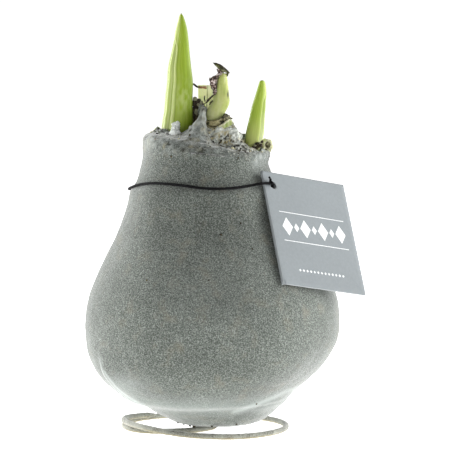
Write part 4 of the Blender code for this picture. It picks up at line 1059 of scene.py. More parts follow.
def make_wax():
    """The wax coat: outside, torn edge, underside and inside as one surface that closes on itself.

    Its outside has soft bumps of two sizes, and two coarser ones are added where the neck is broken.
    """
    angle = round_angles(WAX_COLUMNS)
    outside, level, mouth, edge = wax_outside(angle)
    start = BROKEN_START + BROKEN_LOWER * bell(turned(angle - BROKEN_ANGLE), BROKEN_SPREAD)
    reached = eased((level - TOP_LEVEL + start) / start)[..., None]
    normal = outward(outside)
    bumps = 0.00016 * clumps(outside, 0.0075, 1) + 0.00007 * clumps(outside, 0.0021, 2)
    broken = 0.00055 * clumps(outside, 0.0034, 3) + 0.00038 * clumps(outside, 0.0014, 4)
    broken = broken * (1 - SMOOTHER * bell(turned(angle - SMOOTH_ANGLE), SMOOTH_SPREAD))
    outside = wire_dent(outside + normal * (bumps[..., None] + broken[..., None] * reached))
    lip = [neck_ring(mouth + 0.0003, edge + 0.0001, angle), neck_ring(mouth, edge - 0.0004, angle)]
    outmost = neck_reach(TOP_LEVEL - 0.3, angle, WAX_THICKNESS)
    radius = mouth + (outmost - mouth) * np.array((0, 0.3, 0.65, 1))[:, None]
    under = neck_ring(radius, covered_top(radius, angle) + 2 * GAP, angle)
    levels = np.array((TOP_LEVEL - 1.1, 20, 19, 17.5, 16, 14, 12, 11, 10, 9, 7.5, 6, 5, 4, 3, 2, 1, 0.2))
    inside = wall(levels[:, None], angle, WAX_THICKNESS)
    rings = np.concatenate([outside, lip, under, inside])
    unseen = np.zeros((len(rings) - len(outside), WAX_COLUMNS))
    marks = {name: np.concatenate([mark, unseen]) for name, mark in wax_marks(outside, level, angle).items()}
    make_piece("wax_skin", [skin(rings, ends="join", values=marks)], WAX, ["wax_coat"])
    return outside, level


# The bulb's cut neck

# A heap of crumbs at the front of the mound
HEAP, HEAP_HEIGHT, HEAP_RADIUS = (0.0085, -0.0055), 0.0042, 0.0060
# Hollows round the shoots: middle and half sizes, from the neck's axis
SHOOT_HOLLOWS = ((-0.0109, -0.0015, 0.0060, 0.0042), (0.0176, -0.0030, 0.0032, 0.0026))
# Broken papery scales round the stub: radius, first and last angle, foot and top
NECK_SCALES = (
    (0.0086, -70, 40, 0.1095, 0.1131), (0.0115, -46, 34, 0.1070, 0.1108),
    (0.0060, 30, 150, 0.1110, 0.1158), (0.0088, 50, 120, 0.1100, 0.1150),
)


def make_bulb():
    """The bulb: its side under the wax, then in over its cut neck, which is crumbly and pitted.

    The neck's height has clumps, finer grain and a bell-shaped heap added, and a bell-shaped hollow
    round each shoot taken off.
    """
    columns, inner = 320, WAX_THICKNESS + GAP
    angle = round_angles(columns)
    levels = np.array((1, 3, 5, 7, 9, 11, 13, 15, 17, 19, TOP_LEVEL - 2, TOP_LEVEL - 1.1))
    side = wall(levels[:, None], angle, inner)
    mouth = mouth_radius(angle)
    covered = neck_reach(TOP_LEVEL - 0.3, angle, inner) - mouth
    covered = mouth + covered * np.array((1.0, 0.7, 0.4, 0.15))[:, None]
    cover = neck_ring(covered, covered_top(covered, angle) - 0.0002, angle)
    radius = mouth * np.linspace(1.0, 0.01, 80)[:, None]
    flat = neck_ring(radius, 0.1, angle)
    crumbly = 0.00055 * clumps(flat, 0.0030, 61) + 0.00045 * grain(flat, 0.0013, 62)
    hollow = 0
    for x, y, wide, deep in SHOOT_HOLLOWS:
        gap = np.hypot((radius * np.cos(angle) - x) / wide, (radius * np.sin(angle) - y) / deep)
        hollow = np.maximum(hollow, bell(np.maximum(gap - 0.9, 0), 0.35))
    heap = HEAP_HEIGHT * bell(distance(radius, angle, HEAP), HEAP_RADIUS) * eased((mouth - radius) / 0.0040)
    height = scale_top(radius, angle) + 0.0003 + heap
    height = height + crumbly * eased((mouth - radius) / 0.0010) - 0.0014 * hollow
    top = neck_ring(radius, height, angle)
    pale = np.clip(0.10 + 0.9 * grain(flat, 0.0013, 64) + spots_on(top, PALE_SPOTS), 0, 1)
    pits = np.clip((grain(flat, 0.0016, 65) - 0.30) * 2.5, 0, 0.9)
    dark = np.clip(np.maximum(np.maximum(pits, 0.7 * hollow), spots_on(top, DARK_SPOTS)), 0, 0.95)
    near_stub = eased((0.0105 - distance(radius, angle, COLLAR)) / 0.004)
    warm = 0.5 * near_stub * (0.6 + 0.4 * clumps(flat, 0.0024, 66)) + spots_on(top, WARM_SPOTS)
    unseen = np.zeros((len(side) + len(cover), columns))
    values = {"pale": pale, "dark": dark, "warm": np.clip(warm, 0, 1)}
    values = {name: np.concatenate([unseen, value]) for name, value in values.items()}
    rings = np.concatenate([side, cover, top])
    make_piece("bulb_neck", [skin(rings, values=values)], CRUST, ["bulb"])
    return top


def scale_strip(radius, first, last, foot, top, seed):
    """A torn upright scale bent round the stub: its top edge is cut ragged, and it leans outwards."""
    columns, thick, lean = 44, 0.0005, 0.0004
    around = np.radians(np.linspace(first, last, columns))
    share = np.linspace(0, 1, 8)[:, None]
    circle = level_circle(around) * radius
    taper = np.sin(np.linspace(0, math.pi, columns)) ** 0.4
    high = foot + (top - foot) * taper * (0.75 + 0.4 * grain(circle + seed, 0.0016, seed))
    rise = foot + (high - foot) * share
    grids = []
    for step in (thick / 2, -thick / 2):
        reach = radius + step * (1 - 0.6 * share) + lean * share**2
        reach = reach + 0.0002 * grain(circle[None] + share[..., None] * 0.004, 0.0014, seed + 9)
        grids.append(upright(*COLLAR, reach, reach, around, rise))
    edge = np.broadcast_to(share**3, rise.shape)
    rough = 0.5 + 0.5 * clumps(grids[0], 0.0012, seed)
    return blade(*grids, values={"pale": 0.5 * edge * rough, "dark": 0.8 * edge * (1 - rough)})


def make_neck_scales():
    """Broken papery scales that stand in arcs round the stub, between it and the right shoot."""
    strips = [scale_strip(*row, 70 + index) for index, row in enumerate(NECK_SCALES)]
    make_piece("neck_scales", strips, SCALE_FLESH)


# The shoots


def fine_sections(sections, count, crowd=1.0):
    """Sections on smooth curves through the given ones, crowded towards the tip by a power of the share."""
    sections = np.asarray(sections)
    share = 1 - np.linspace(1, 0, count) ** crowd
    heights = sections[0, 0] + (sections[-1, 0] - sections[0, 0]) * share
    found = np.column_stack([heights, through(sections, heights)])
    found[:, 3:] = np.maximum(found[:, 3:], 0.00002)
    return found


def ovals(sections, sides):
    """Level oval rings: cosine and sine of the angle times the half sizes of each section."""
    height, x, y, wide, deep = (column[:, None] for column in np.asarray(sections).T)
    return upright(x, y, wide, deep, round_angles(sides), height)


def make_outer_leaf(name, sections, spans, material, foot_height, slim, pale_side, streaks, scuffs=0.0):
    """The outer leaf, which folds round the shoot and closes to its tip.

    Its angles run over the first span at the foot and over the second at the tip. It is palest towards
    the pale side and blanched below the foot height. Streaks have an angle, a width and a strength, and
    scuffs says how scratched its front and how lined its edge is.
    """
    fine = fine_sections(sections, 110, 1.5)
    height, x, y, wide, deep = (column[:, None] for column in fine.T)
    share = (height - height[0]) / (height[-1] - height[0])
    closing = eased((share - SEAM_CLOSES + 0.15) / 0.15)
    first, last = (np.radians(foot + (tip - foot) * closing) for foot, tip in zip(*spans))
    around = first + (last - first) * np.linspace(0, 1, 72)
    ripple = 1 + 0.008 * np.sin(around * 9) + 0.006 * np.sin(around * 23 + 2)
    grids = []
    for inset in (0.0, BLADE_THICKNESS):
        half = [slim * np.maximum(side - inset, 0.35 * side) * ripple for side in (wide, deep)]
        grids.append(upright(x, y, *half, around, height))
    toward = 0.5 + 0.5 * np.cos(around - math.radians(pale_side))
    wavy = 0.7 + 0.5 * clumps(grids[0] * (1, 1, 0.15), 0.0016, 171)
    side = 0.02 + 0.42 * toward**2
    for angle, width, strength in streaks:
        side = side + strength * wavy * bell(turned(around - math.radians(angle)), math.radians(width))
    scratches = np.clip(0.5 + 0.9 * grain(grids[0] * (1, 1, 0.4), 0.0008, 172), 0, 1)
    scuffed = 0.5 * scuffs * bell(height - SCUFF_HEIGHT, 0.0065) * scratches
    scuffed = scuffed * bell(around - SCUFF_ANGLE, 0.75)
    edges = 0.7 * bell(around - first - 0.09, 0.08) + 0.5 * bell(last - around, 0.10)
    lines = sum(strength * bell(around - first - off, spread) for off, spread, strength in EDGE_LINES)
    lines = lines + 0.35 * bell(around - math.radians(2), 0.40)
    values = {
        "side": side,
        "foot": np.clip((foot_height - height) / 0.010, 0, 1) * 0.8 + 0 * around,
        "rim": np.clip(edges + scuffed, 0, 0.9),
        "line": lines * (scuffs > 0),
    }
    surface = blade(*grids, values=values)
    make_piece(f"{name}_outer_blade", [surface], material, [f"{name}_outer_leaf"])


def make_inner_leaf(name, sections, span, foot_height, slim):
    """The pale inner leaf: ovals inside the outer one, which narrow to its end by a square root.

    It is slack where the outer leaf hides it. The left shoot's has deeper stripes and a dark left edge.
    """
    foot, tip = sections[0][0], sections[-1][0]
    top = foot + INNER_LEAF_ENDS * (tip - foot)
    taper = 0.08 * (tip - foot)
    heights = [np.linspace(foot, top - taper, 50), top - taper * np.linspace(0.95, 0, 14) ** 2]
    heights = np.concatenate(heights)
    middles = through(sections, heights)
    narrow = np.sqrt(np.clip((top - heights) / taper, 0, 1))
    around = round_angles(60)
    hidden = 1 - bell(turned(around - math.radians(sum(span) / 2 + 180)), 0.95)
    inset = 0.0002 + (BLADE_THICKNESS + INNER_LEAF_SLACK - 0.0002) * hidden
    ripple = slim * (1 + 0.02 * np.sin(around * 12))
    size = np.maximum(middles[:, 2:, None] - inset, 0.00001) * narrow[:, None, None] * ripple
    rings = upright(middles[:, :1], middles[:, 1:2], size[:, 0], size[:, 1], around, heights[:, None])
    flat = np.zeros(rings.shape[:2])
    leftward = sections[0][1] < 0
    values = {
        "side": (0.28 if leftward else 0.08) + 0.20 * np.sin(around * 21) + flat,
        "foot": np.clip((foot_height + 0.002 - heights) / 0.012, 0, 1)[:, None] * 0.8 + flat,
        "rim": flat,
        "line": 0.55 * leftward * bell(turned(around - math.pi), 0.30) + flat,
    }
    surface = skin(rings, values=values)
    make_piece(f"{name}_inner_blade", [surface], PALE_LEAF, [f"{name}_inner_leaf"])


def make_shoot(name, sections, spans, material, foot_height, slim=1.0, **paint):
    """A shoot: the outer leaf and the inner leaf that it folds round."""
    make_outer_leaf(name, sections, spans, material, foot_height, slim, **paint)
    make_inner_leaf(name, sections, spans[0], foot_height, slim)


# The stub and the cut leaves


def shaken(rings, amount, size, seed):
    """Rings with each point moved along all three axes by clumps of its own place."""
    shake = np.stack([grain(rings, size, seed + step) for step in range(3)], axis=-1)
    return rings + amount * shake


def plain(surface, pale=0.0, dark=0.0):
    """The surface with the same two paint values all over."""
    points, faces, spots, _ = surface
    return points, faces, spots, {"pale": np.full(len(points), pale), "dark": np.full(len(points), dark)}


def seen_sheet(upper, lower, depth, thickness, bulge, paint, rows=14):
    """A sheet between two lines of the picture at a depth, bulging forward as a half wave across it.

    The lines are smooth curves through their corners, and the rows blend one into the other. The paint
    is a function of the share along the sheet and the share down it.
    """
    along = np.linspace(0, 1, 50)
    top, bottom = smooth_path(upper, len(along)), smooth_path(lower, len(along))
    down = np.linspace(0, 1, rows)[:, None]
    places = top + (bottom - top) * down[..., None]
    front = depth - bulge * np.sin(math.pi * down) + 0 * along
    outer = seen_point(places[..., 0], places[..., 1], front)
    values = {name: np.broadcast_to(value, front.shape) for name, value in paint(along, down).items()}
    return outer, outer + [0, thickness, 0], values


def make_stub():
    """The thick cut stub with the slit at its right and pale ribs."""
    rings = roughened(ovals(fine_sections(STUB, 60), 56), 0.00010, 0.0022, 81)
    angle = round_angles(56)[None, :]
    height = rings[..., 2]
    low = eased((0.1225 - height) / 0.004) * 0.15
    slit = bell(turned(angle - math.radians(-24)), 0.13) * bell(height - 0.1268, 0.0013)
    left = bell(turned(angle - math.radians(-150)), 0.45) * eased((height - 0.121) / 0.004)
    ribs = 0.20 * (0.5 + 0.5 * np.sin(angle * 13 + height * 260)) * (0.6 - 0.4 * np.cos(angle))
    pale = np.clip(low + ribs + spots_on(rings, STUB_PALE), 0, 1)
    dark = np.clip(0.95 * slit + 0.3 * left + spots_on(rings, STUB_STAINS), 0, 0.9)
    surface = skin(rings, values={"pale": pale, "dark": dark})
    make_piece("stub_body", [surface], STUB_FLESH, ["middle_stub"])


def make_crumpled_margin():
    """The crumpled dry skin down the stub's left: a shaken oval tube, dark at its edges, with lumps."""
    places = np.array(CRUMPLED_WAY)
    way = seen_path(places[:, :2], -0.0022, 90)
    stations = np.column_stack([np.linspace(0, 1, len(places)), places[:, 2:]])
    width = through(stations, np.linspace(0, 1, len(way)))[:, :1]
    around = round_angles(30)
    flat = level_circle(around) * (1, 0.55, 1)
    rings = shaken(way[:, None] + (width * 0.000378)[..., None] * flat, 0.00045, 0.0013, 91)
    across = np.cos(around)[None, :] + 0 * width
    edges = np.clip(bell(across + 1, 0.35) + bell(across - 1, 0.5), 0, 1)
    parts = [skin(rings, values={"pale": 0 * across, "dark": 0.8 * edges})]
    for index, (across, down, size) in enumerate(CRUMPLED_LUMPS):
        radii = size * 0.0004, 0.0005, size * 0.0005
        shape = lump(seen_point(across, down, -0.0024), radii, 96 + index, 0.5)
        parts.append(plain(skin(shaken(shape, 0.0002, 0.0009, 98)), dark=0.15))
    make_piece("crumpled_margin", parts, CRUMPLED)


def make_side_scale():
    """The pale ribbed scale under the crumpled skin, with a dark line down its left."""

    def cream(along, down):
        """Pale ribs as a wave along the sheet, and a bell-shaped dark line."""
        ribs = 0.45 + 0.35 * np.sin(along * 22 + 2)
        return {"pale": ribs + 0 * down, "dark": 0.6 * bell(along - 0.10, 0.05) + 0 * down}

    upper = (206.8, 86.2), (211.0, 84.6), (217.0, 83.0)
    lower = (204.8, 119.0), (210.0, 119.5), (216.0, 119.0)
    outer, inner, values = seen_sheet(upper, lower, 0.0004, 0.0005, 0.0008, cream, rows=36)
    surface = blade(shaken(outer, 0.0001, 0.002, 99), inner, values)
    make_piece("pale_side_scale", [surface], CREAM)


def make_torn_edges():
    """Dark torn edges round the stub: shaken tubes along lines, thin at their ends."""
    torn = []
    for index, (line, depth, radius) in enumerate(TORN_LINES):
        way = seen_path(line, depth, 40)
        size = radius * (0.8 + 0.5 * clumps(way, 0.0012, 101 + index))
        size = size * np.sin(np.linspace(0.15, math.pi - 0.15, 40)) ** 0.5
        torn.append(plain(skin(shaken(tube(way, size, 10), 0.00010, 0.0010, 104)), dark=0.4))
    make_piece("torn_edges", torn, DRY)


def make_cap():
    """The dry leaf end on top of the stub: a flat pointed blade on a short neck, with a hanging shred."""

    def olive(along, down):
        """Dark bells along the upper edge and the middle, and a light one near the point."""
        ridge = bell(down, 0.16) + 0.5 * bell(down - 0.5, 0.1)
        light = 0.45 * bell(along - 0.72, 0.12) * bell(down - 0.55, 0.25)
        return {"pale": light, "dark": 0.75 * ridge + 0 * along}

    upper = (212.7, 62.7), (216.6, 63.0), (220.8, 65.8), (225.2, 69.2), (229.4, 72.4)
    lower = (212.9, 63.3), (216.8, 67.2), (220.6, 71.2), (225.4, 72.6), (229.6, 73.2)
    outer, inner, values = seen_sheet(upper, lower, -0.0014, 0.0006, 0.0006, olive)
    end = blade(shaken(outer, 0.00008, 0.0011, 105), shaken(inner, 0.00008, 0.0011, 105), values)
    way = seen_path(((228.0, 71.8), (227.6, 74.0), (227.2, 76.4)), -0.0014, 14)
    shred = plain(skin(tube(way, np.linspace(0.00055, 0.00022, 14), 8)), dark=0.3)
    make_piece("dry_leaf_end", [end, shred], CAP)

    way = seen_path(((222.6, 75.5), (221.0, 73.2), (219.4, 71.0), (218.4, 68.6)), -0.0010, 20)
    shape = shaken(tube(way, np.linspace(0.0009, 0.0007, 20), 14), 0.00025, 0.0010, 107)
    make_piece("dry_leaf_neck", [plain(skin(shape), dark=0.1)], CRUMPLED)


def make_back_leaf():
    """The pale cut leaf behind the stub, its red-brown dry top, and a dry thread from the left shoot."""
    rings = ovals(fine_sections(BACK_LEAF, 40), 48)
    share = np.linspace(0, 1, 40)[:, None]
    rings[..., 2] += 0.0004 * grain(rings, 0.0012, 111) * share**6
    rings[..., 1] += 0.0003 * clumps(rings, 0.0030, 112)
    x = (rings[..., 0] - NECK_X + 0.0010) / 0.0021
    stripes = 0.25 * (0.5 + 0.5 * np.sin(x * 13))
    green = bell(x - 0.72, 0.16)
    stains = np.clip(1.4 * clumps(rings, 0.0011, 113) + 0.3, 0, 1)
    low = 0.75 * eased((0.1250 - rings[..., 2]) / 0.0020) * stains
    values = {"pale": np.clip(0.55 + stripes - 0.9 * green, 0, 1), "dark": np.clip(low + 0.35 * green, 0, 1)}
    make_piece("back_leaf", [skin(rings, values=values)], CREAM, ["back_leaf_stub"])

    way = seen_path(((198.4, 86.9), (202.5, 87.3), (207.2, 87.5)), 0.0036, 40)
    edge = shaken(tube(way, 0.00052, 12), 0.00012, 0.0012, 114)
    make_piece("reddish_edge", [plain(skin(edge), dark=0.10)], REDDISH)

    way = seen_path(((191.6, 83.8), (193.6, 84.2), (195.8, 85.8), (197.8, 86.9), (199.6, 86.6)), 0.0030, 30)
    size = np.interp(np.linspace(0, 1, 30), (0, 0.5, 0.8, 1), (0.00026, 0.00042, 0.00036, 0.00020))
    thread = shaken(tube(way, size, 10), 0.00006, 0.001, 115)
    make_piece("dry_thread", [plain(skin(thread), dark=0.6)], DRY)


def make_dark_scale():
    """The crumpled dark scale beside the stub: a rough oval blade with lumps of dry skin."""
    rings = roughened(ovals(fine_sections(DARK_SCALE, 50), 40), 0.00045, 0.0016, 115)
    rings[..., 0] += 0.0005 * clumps(rings, 0.0026, 116)
    flat = np.zeros(rings.shape[:2])
    parts = [skin(rings, values={"pale": flat, "dark": flat + 0.35})]
    for index, (across, down, size) in enumerate(DARK_LUMPS):
        radii = size * 0.0006, 0.0007, size * 0.0007
        shape = lump(seen_point(across, down, -0.0006), radii, 117 + index, 0.4)
        # Every third lump is made paler as a painted highlight
        parts.append(plain(skin(shape), pale=0.5 if index % 3 == 0 else 0.0, dark=0.3))
    make_piece("dark_dry_scale", parts, DRY, ["dark_scale"])


def make_green_scale():
    """The short green scale at the right of the stub: a ribbed upright blade with a whitish cut rim."""
    degrees, heights = np.array(GREEN_SCALE_TOP).T
    around = np.radians(np.linspace(degrees[0], degrees[-1], 80))
    circle = level_circle(around) * GREEN_SCALE_RADIUS
    top = np.interp(np.degrees(around), degrees, heights) + 0.00015 * grain(circle, 0.0015, 121)
    share = np.linspace(0, 1, 34)[:, None]
    height = GREEN_SCALE_FOOT + (top - GREEN_SCALE_FOOT) * share
    grids = []
    for step in (GREEN_SCALE_THICKNESS, 0.0):
        reach = GREEN_SCALE_RADIUS + step + 0.0001 * np.sin(around * 22)
        reach = reach - 0.0008 * np.clip(share - 0.75, 0, 1)
        grids.append(upright(*COLLAR, reach, reach, around, height))
    ribs = 0.45 * (0.5 + 0.5 * np.sin(around * 22)) + 0 * share
    rim = eased((height - top + 0.0009) / 0.0005)
    right = 0.6 * bell(np.degrees(around) + 12, 7) * (1 - rim) + 0 * share
    surface = blade(*grids, values={"pale": np.clip(ribs + rim, 0, 1), "dark": np.clip(right, 0, 1)})
    make_piece("green_cut_scale", [surface], GREEN_SCALE, ["green_scale_stub"])


def make_collar_band():
    """The withered band round the stub's foot: its front lies between two lines, its back joins their ends.

    Rings run right round: the front on an upright round seen in the picture, the back on the same round
    with heights blended from one end to the other.
    """
    centre = np.array((NECK_X + BAND_MIDDLE[0], BAND_MIDDLE[1], 0.0))
    rings = []
    for line, reach in ((BAND_UPPER, BAND_RADIUS), (BAND_LOWER, BAND_RADIUS + 0.0008)):
        front = on_round(smooth_path(line, 110), BAND_MIDDLE, reach)
        ends = [math.atan2(end[1] - centre[1], end[0] - centre[0]) for end in front[[-1, 0]]]
        turn = np.linspace(ends[0], ends[1] % (2 * math.pi), 70)[1:-1]
        rise = np.linspace(front[-1, 2], front[0, 2], 70)[1:-1]
        rings.append(np.concatenate([front, upright(*BAND_MIDDLE, reach, reach, turn, rise)]))
    upper, lower = rings
    share = np.linspace(0, 1.25, 18)[:, None, None]
    outer = roughened((upper + (lower - upper) * share)[::-1], 0.00026, 0.0012, 131)[::-1]
    inner = outer - 0.0006 * (outer - centre) * (1, 1, 0) / BAND_RADIUS
    across, _ = seen_place(outer)
    rightness = eased((across - 217.5) / 6.0)
    down = share[..., 0] + 0 * across
    broken = 0.75 + 0.6 * clumps(outer, 0.0010, 134)
    lines = (bell(down, 0.11) + bell(down - 0.98, 0.12)) * broken + spots_on(outer, BAND_PITS)
    streaks = np.clip(np.sin((across - 2 * down) * 2.4), 0, 1)
    values = {
        "pale": np.clip(0.25 * (1 - rightness) * clumps(outer, 0.0012, 132), 0, 1),
        "dark": np.clip(1.3 * lines + rightness * (0.72 - 0.5 * streaks), 0, 0.97),
    }
    values = {name: np.concatenate([value, value[::-1]]) for name, value in values.items()}
    surface = skin(np.concatenate([outer, inner[::-1]]), ends="join", values=values)
    make_piece("collar_band", [surface], BAND)


def make_curled_scale():
    """The dry scale that curls nearly to a tube on the right of the rim, with crumpled skin in its curl."""
    around = np.radians(np.linspace(*CURL_ARC, 44))
    share = np.linspace(0, 1, 26)[:, None]
    x, y, z = CURL_CENTRE
    along = y + CURL_LENGTH * (share - 0.5)
    grids = []
    for radius in (CURL_RADIUS + 0.0002, CURL_RADIUS - CURL_THICKNESS):
        size = radius * (0.8 + 0.2 * np.sin(math.pi * share))
        parts = NECK_X + x + size * np.cos(around), along, z + size * np.sin(around)
        grids.append(shaken(np.stack(np.broadcast_arrays(*parts), axis=-1), 0.00022, 0.0013, 141))
    rough = clumps(grids[0], 0.0014, 144)
    values = {"pale": np.clip(0.6 + rough, 0, 0.9), "dark": np.clip(-rough, 0, 1) * 0.5}
    surface = blade(*grids, values=values)
    make_piece("curled_dry_scale", [surface], SCALE_FLESH, ["curled_scale"])
    parts = []
    for index, (across, down, depth, size, pale, dark) in enumerate(CURL_LUMPS):
        radii = size * 0.0008, 0.0010, size * 0.0008
        shape = shaken(lump(seen_point(across, down, depth), radii, 145 + index, 0.45), 0.0002, 0.0011, 146)
        parts.append(plain(skin(shape), pale=pale, dark=dark))
    make_piece("crumpled_curl", parts, SCALE_FLESH)


# The wire


def ring_way(count):
    """Middle line of the wire: the ring by angle, the leg to the middle, and the bend up to the spike."""
    degrees = np.append(np.arange(RING[0][0], RING[-1][0], 3.0), RING[-1][0])
    radius, height = through(RING, degrees).T
    angle = np.radians(degrees)
    level = WIRE_REST + np.maximum(height, 0)
    turns = np.column_stack([radius * np.cos(angle), radius * np.sin(angle), level])
    leg = np.column_stack([np.array(LEG), np.full(len(LEG), WIRE_REST)])
    heading = math.atan2(-LEG[-1][1], SPIKE_X - LEG[-1][0])
    turn = np.radians(np.linspace(0, 90, 6))
    back = SPIKE_BEND * (1 - np.sin(turn))
    rise = WIRE_REST + SPIKE_BEND * (1 - np.cos(turn))
    bend = np.column_stack([SPIKE_X - back * math.cos(heading), -back * math.sin(heading), rise])
    smooth = smooth_path(np.vstack([leg, bend]), 48)
    smooth[:, 2] = np.maximum(smooth[:, 2], WIRE_REST)
    spike = [(SPIKE_X, 0, SPIKE_TOP - 0.004), (SPIKE_X, 0, SPIKE_TOP)]
    way = smooth_path(np.vstack([turns, smooth, spike]), count) + [RING_X, 0, 0]
    way[:, 2] = np.maximum(way[:, 2], WIRE_REST)
    return way


def make_wire():
    """The flocked wire: a rough tube whose free end tapers to a cut point."""
    way = ring_way(700)
    taper = np.minimum(1, 0.45 + np.linspace(0, 40, 700))
    rings = tube(way, (WIRE_RADIUS - 0.00004) * taper, 20, seed=151, rough=0.00006)
    rings[..., 2] = np.maximum(rings[..., 2], 0.00002)
    under = eased(-(rings[..., 2] - way[:, None, 2]) / WIRE_RADIUS)
    specks = np.clip(grain(rings, 0.0016, 152) - 0.55, 0, 1) * 1.5
    pale = np.clip(0.35 + 0.35 * clumps(rings, 0.0030, 153) - 0.45 * under, 0, 1)
    dark = np.clip(specks + 0.25 * under, 0, 0.7)
    surface = skin(rings, values={"pale": pale, "dark": dark, "warm": 0.8 * under})
    make_piece("flocked_wire_ring", [surface], WIRE, ["wire_stand"])


# The cord and the tag


def tag_point(across, down, back=0.0):
    """Points of the tag: so far across it, down it and back from the upper left corner of its front."""
    across, down, back = (np.asarray(value, float)[..., None] for value in (across, down, back))
    return TAG_CORNER + across * TAG_ACROSS + down * TAG_DOWN + back * TAG_BACK


def cord_way(count):
    """The closed cord: round the neck just off the wax, out over the tag and through its hole."""
    degrees, heights = np.array(CORD_COURSE, float).T
    level = np.interp(heights, BODY_OUTLINE[:, 0], np.arange(TOP_LEVEL + 1))
    round_neck = wall(level, np.radians(degrees), -CORD_OFF)
    across, down = TAG_HOLE
    off = CORD_RADIUS + GAP + 0.00015
    at_tag = [
        tag_point(across + 0.0004, down + 0.0002, TAG_THICKNESS + 0.0005),
        tag_point(across, down, TAG_THICKNESS / 2),
        tag_point(across - 0.0006, down - 0.0001, -off),
        tag_point(across - 0.0030, down + 0.0002, -off - 0.0002),
        tag_point(across - 0.0062, down + 0.0005, -off + 0.0004),
    ]
    return smooth_path(np.vstack([round_neck, at_tag]), count, closed=True)


def make_cord():
    """The elastic cord, with a knot of two turns before the tag's edge and its two cut ends."""
    way = cord_way(520)
    rings = tube(np.concatenate([way, way[:1]]), CORD_SHOWN_RADIUS, 10)[:-1]
    parts = [skin(rings, ends="join")]
    place = tag_point(TAG_HOLE[0] - 0.0022, TAG_HOLE[1] - 0.0008, -0.0012)
    turn = round_angles(28)
    for tilt, size in ((0.5, 0.00062), (-0.6, 0.00055)):
        loop = [0.3 * size * np.sin(turn + tilt), size * np.cos(turn), size * np.sin(turn)]
        loop = np.stack(loop, axis=-1)
        knot = np.concatenate([loop, loop[:1]]) + place
        parts.append(skin(tube(knot, 0.00036, 8)[:-1], ends="join"))
    for aside, down, forward in ((-0.0006, -0.0015, 0.0004), (0.0004, 0.0012, 0.0004 + 0.0002)):
        middle = place + TAG_ACROSS * aside * 0.5 + TAG_DOWN * down * 0.5 - TAG_BACK * 0.0005
        end = place + TAG_ACROSS * aside + TAG_DOWN * down - TAG_BACK * forward
        cut_end = smooth_path([place, middle, end], 14)
        parts.append(skin(tube(cut_end, CORD_RADIUS * 0.8, 8, seed=161, rough=0.00006)))
    make_piece("elastic_cord_braid", parts, CORD, ["elastic_cord"])


def holed_sheet(back, tall):
    """One leaf of the card, this far back and this tall, with its punched hole.

    Rings grow from the hole's circle to the outline. Each point of the outline is joined to the point
    of the circle that lies on the line to the hole's middle.
    """
    steps = np.linspace(0, 1, 36, endpoint=False)
    zero, one = 0 * steps, 0 * steps + 1
    sides = (steps, zero), (one, steps), (1 - steps, one), (zero, 1 - steps)
    start = TAG_THICKNESS / 2
    outline = np.vstack([np.column_stack(side) for side in sides])
    outline = outline * (TAG_WIDTH - start, tall) + (start, 0)
    reach = outline - TAG_HOLE
    circle = TAG_HOLE + TAG_HOLE_RADIUS * reach / np.linalg.norm(reach, axis=1, keepdims=True)
    share = np.append(0.996 * np.linspace(0, 1, 29) ** 1.4, 1.0)[:, None, None]
    flat = circle + (outline - circle) * share
    bevel = np.zeros(flat.shape[:2])
    bevel[[0, -1]] = 0.00006
    front = tag_point(flat[..., 0], flat[..., 1], back + bevel)
    rear = tag_point(flat[..., 0], flat[..., 1], back + CARD_LEAF - bevel)
    core = np.zeros((2, *flat.shape[:2]))
    core[:, [0, -1]] = 0.5
    values = {"core": core.reshape(-1, flat.shape[1])}
    return skin(np.concatenate([front, rear[::-1]]), ends="join", values=values)


def make_tag():
    """The folded card: two leaves, the back one shorter, and the round fold that joins them at the left."""
    half = TAG_THICKNESS / 2
    down = np.linspace(0, TAG_HEIGHT, 40)[:, None]
    turn = np.radians(np.linspace(-90, -270, 15))
    grids = []
    for radius in (half, half - CARD_LEAF):
        across, back = half + radius * np.cos(turn), half + radius * np.sin(turn)
        grids.append(tag_point(across + 0 * down, down + 0 * across, back + 0 * down))
    fold = blade(*grids, values={"core": np.full((len(down), len(turn)), 0.12)})
    sheets = [holed_sheet(0.0, TAG_HEIGHT), holed_sheet(TAG_THICKNESS - CARD_LEAF, TAG_HEIGHT - 0.0014)]
    make_piece("folded_card", [*sheets, fold], CARD, ["hang_tag"])


def ink_patch(outline):
    """A thin plate of ink on the front of the card, with this outline in shares of its size."""
    flat = np.asarray(outline, float) * (TAG_WIDTH, TAG_HEIGHT)
    rings = [tag_point(flat[:, 0], flat[:, 1], back) for back in (-0.00004, 0.00003)]
    return skin(np.array(rings))


def diamond(across, level, half, tall):
    """The corners of a diamond, in shares of the card's width and height."""
    return [(across - half, level), (across, level - tall), (across + half, level), (across, level + tall)]


def make_print():
    """A plain ornament of the maker's own: a row of diamonds between two thin rules, and a row of dots."""
    patches = []
    for level in (0.345, 0.600):
        low, high, under = 0.12, 0.90, level + 0.006
        patches.append(ink_patch([(low, level), (high, level), (high, under), (low, under)]))
    for index in range(7):
        half = 0.062 if index % 2 == 0 else 0.030
        tall = half * TAG_WIDTH / TAG_HEIGHT * 1.5
        patches.append(ink_patch(diamond(0.19 + 0.64 * index / 6, 0.4755, half, tall)))
    for index in range(13):
        patches.append(ink_patch(diamond(0.24 + 0.52 * index / 12, 0.855, 0.013, 0.013)))
    make_piece("tag_ornament", patches, INK, flat=True)


# Small bits

# How many crumbs lie on the rim, on the cut neck and scattered under the rim's right half. The last
# start on a slanting line of the picture and thin out below it
RIM_CRUMBS, CUT_CRUMBS, SCATTERED_CRUMBS = 150, 190, 150
SCATTER_ACROSS, SCATTER_TOP, SCATTER_SLOPE, SCATTER_REACH, SCATTER_LOWEST = (206, 250), 136.0, 0.33, 4.5, 160

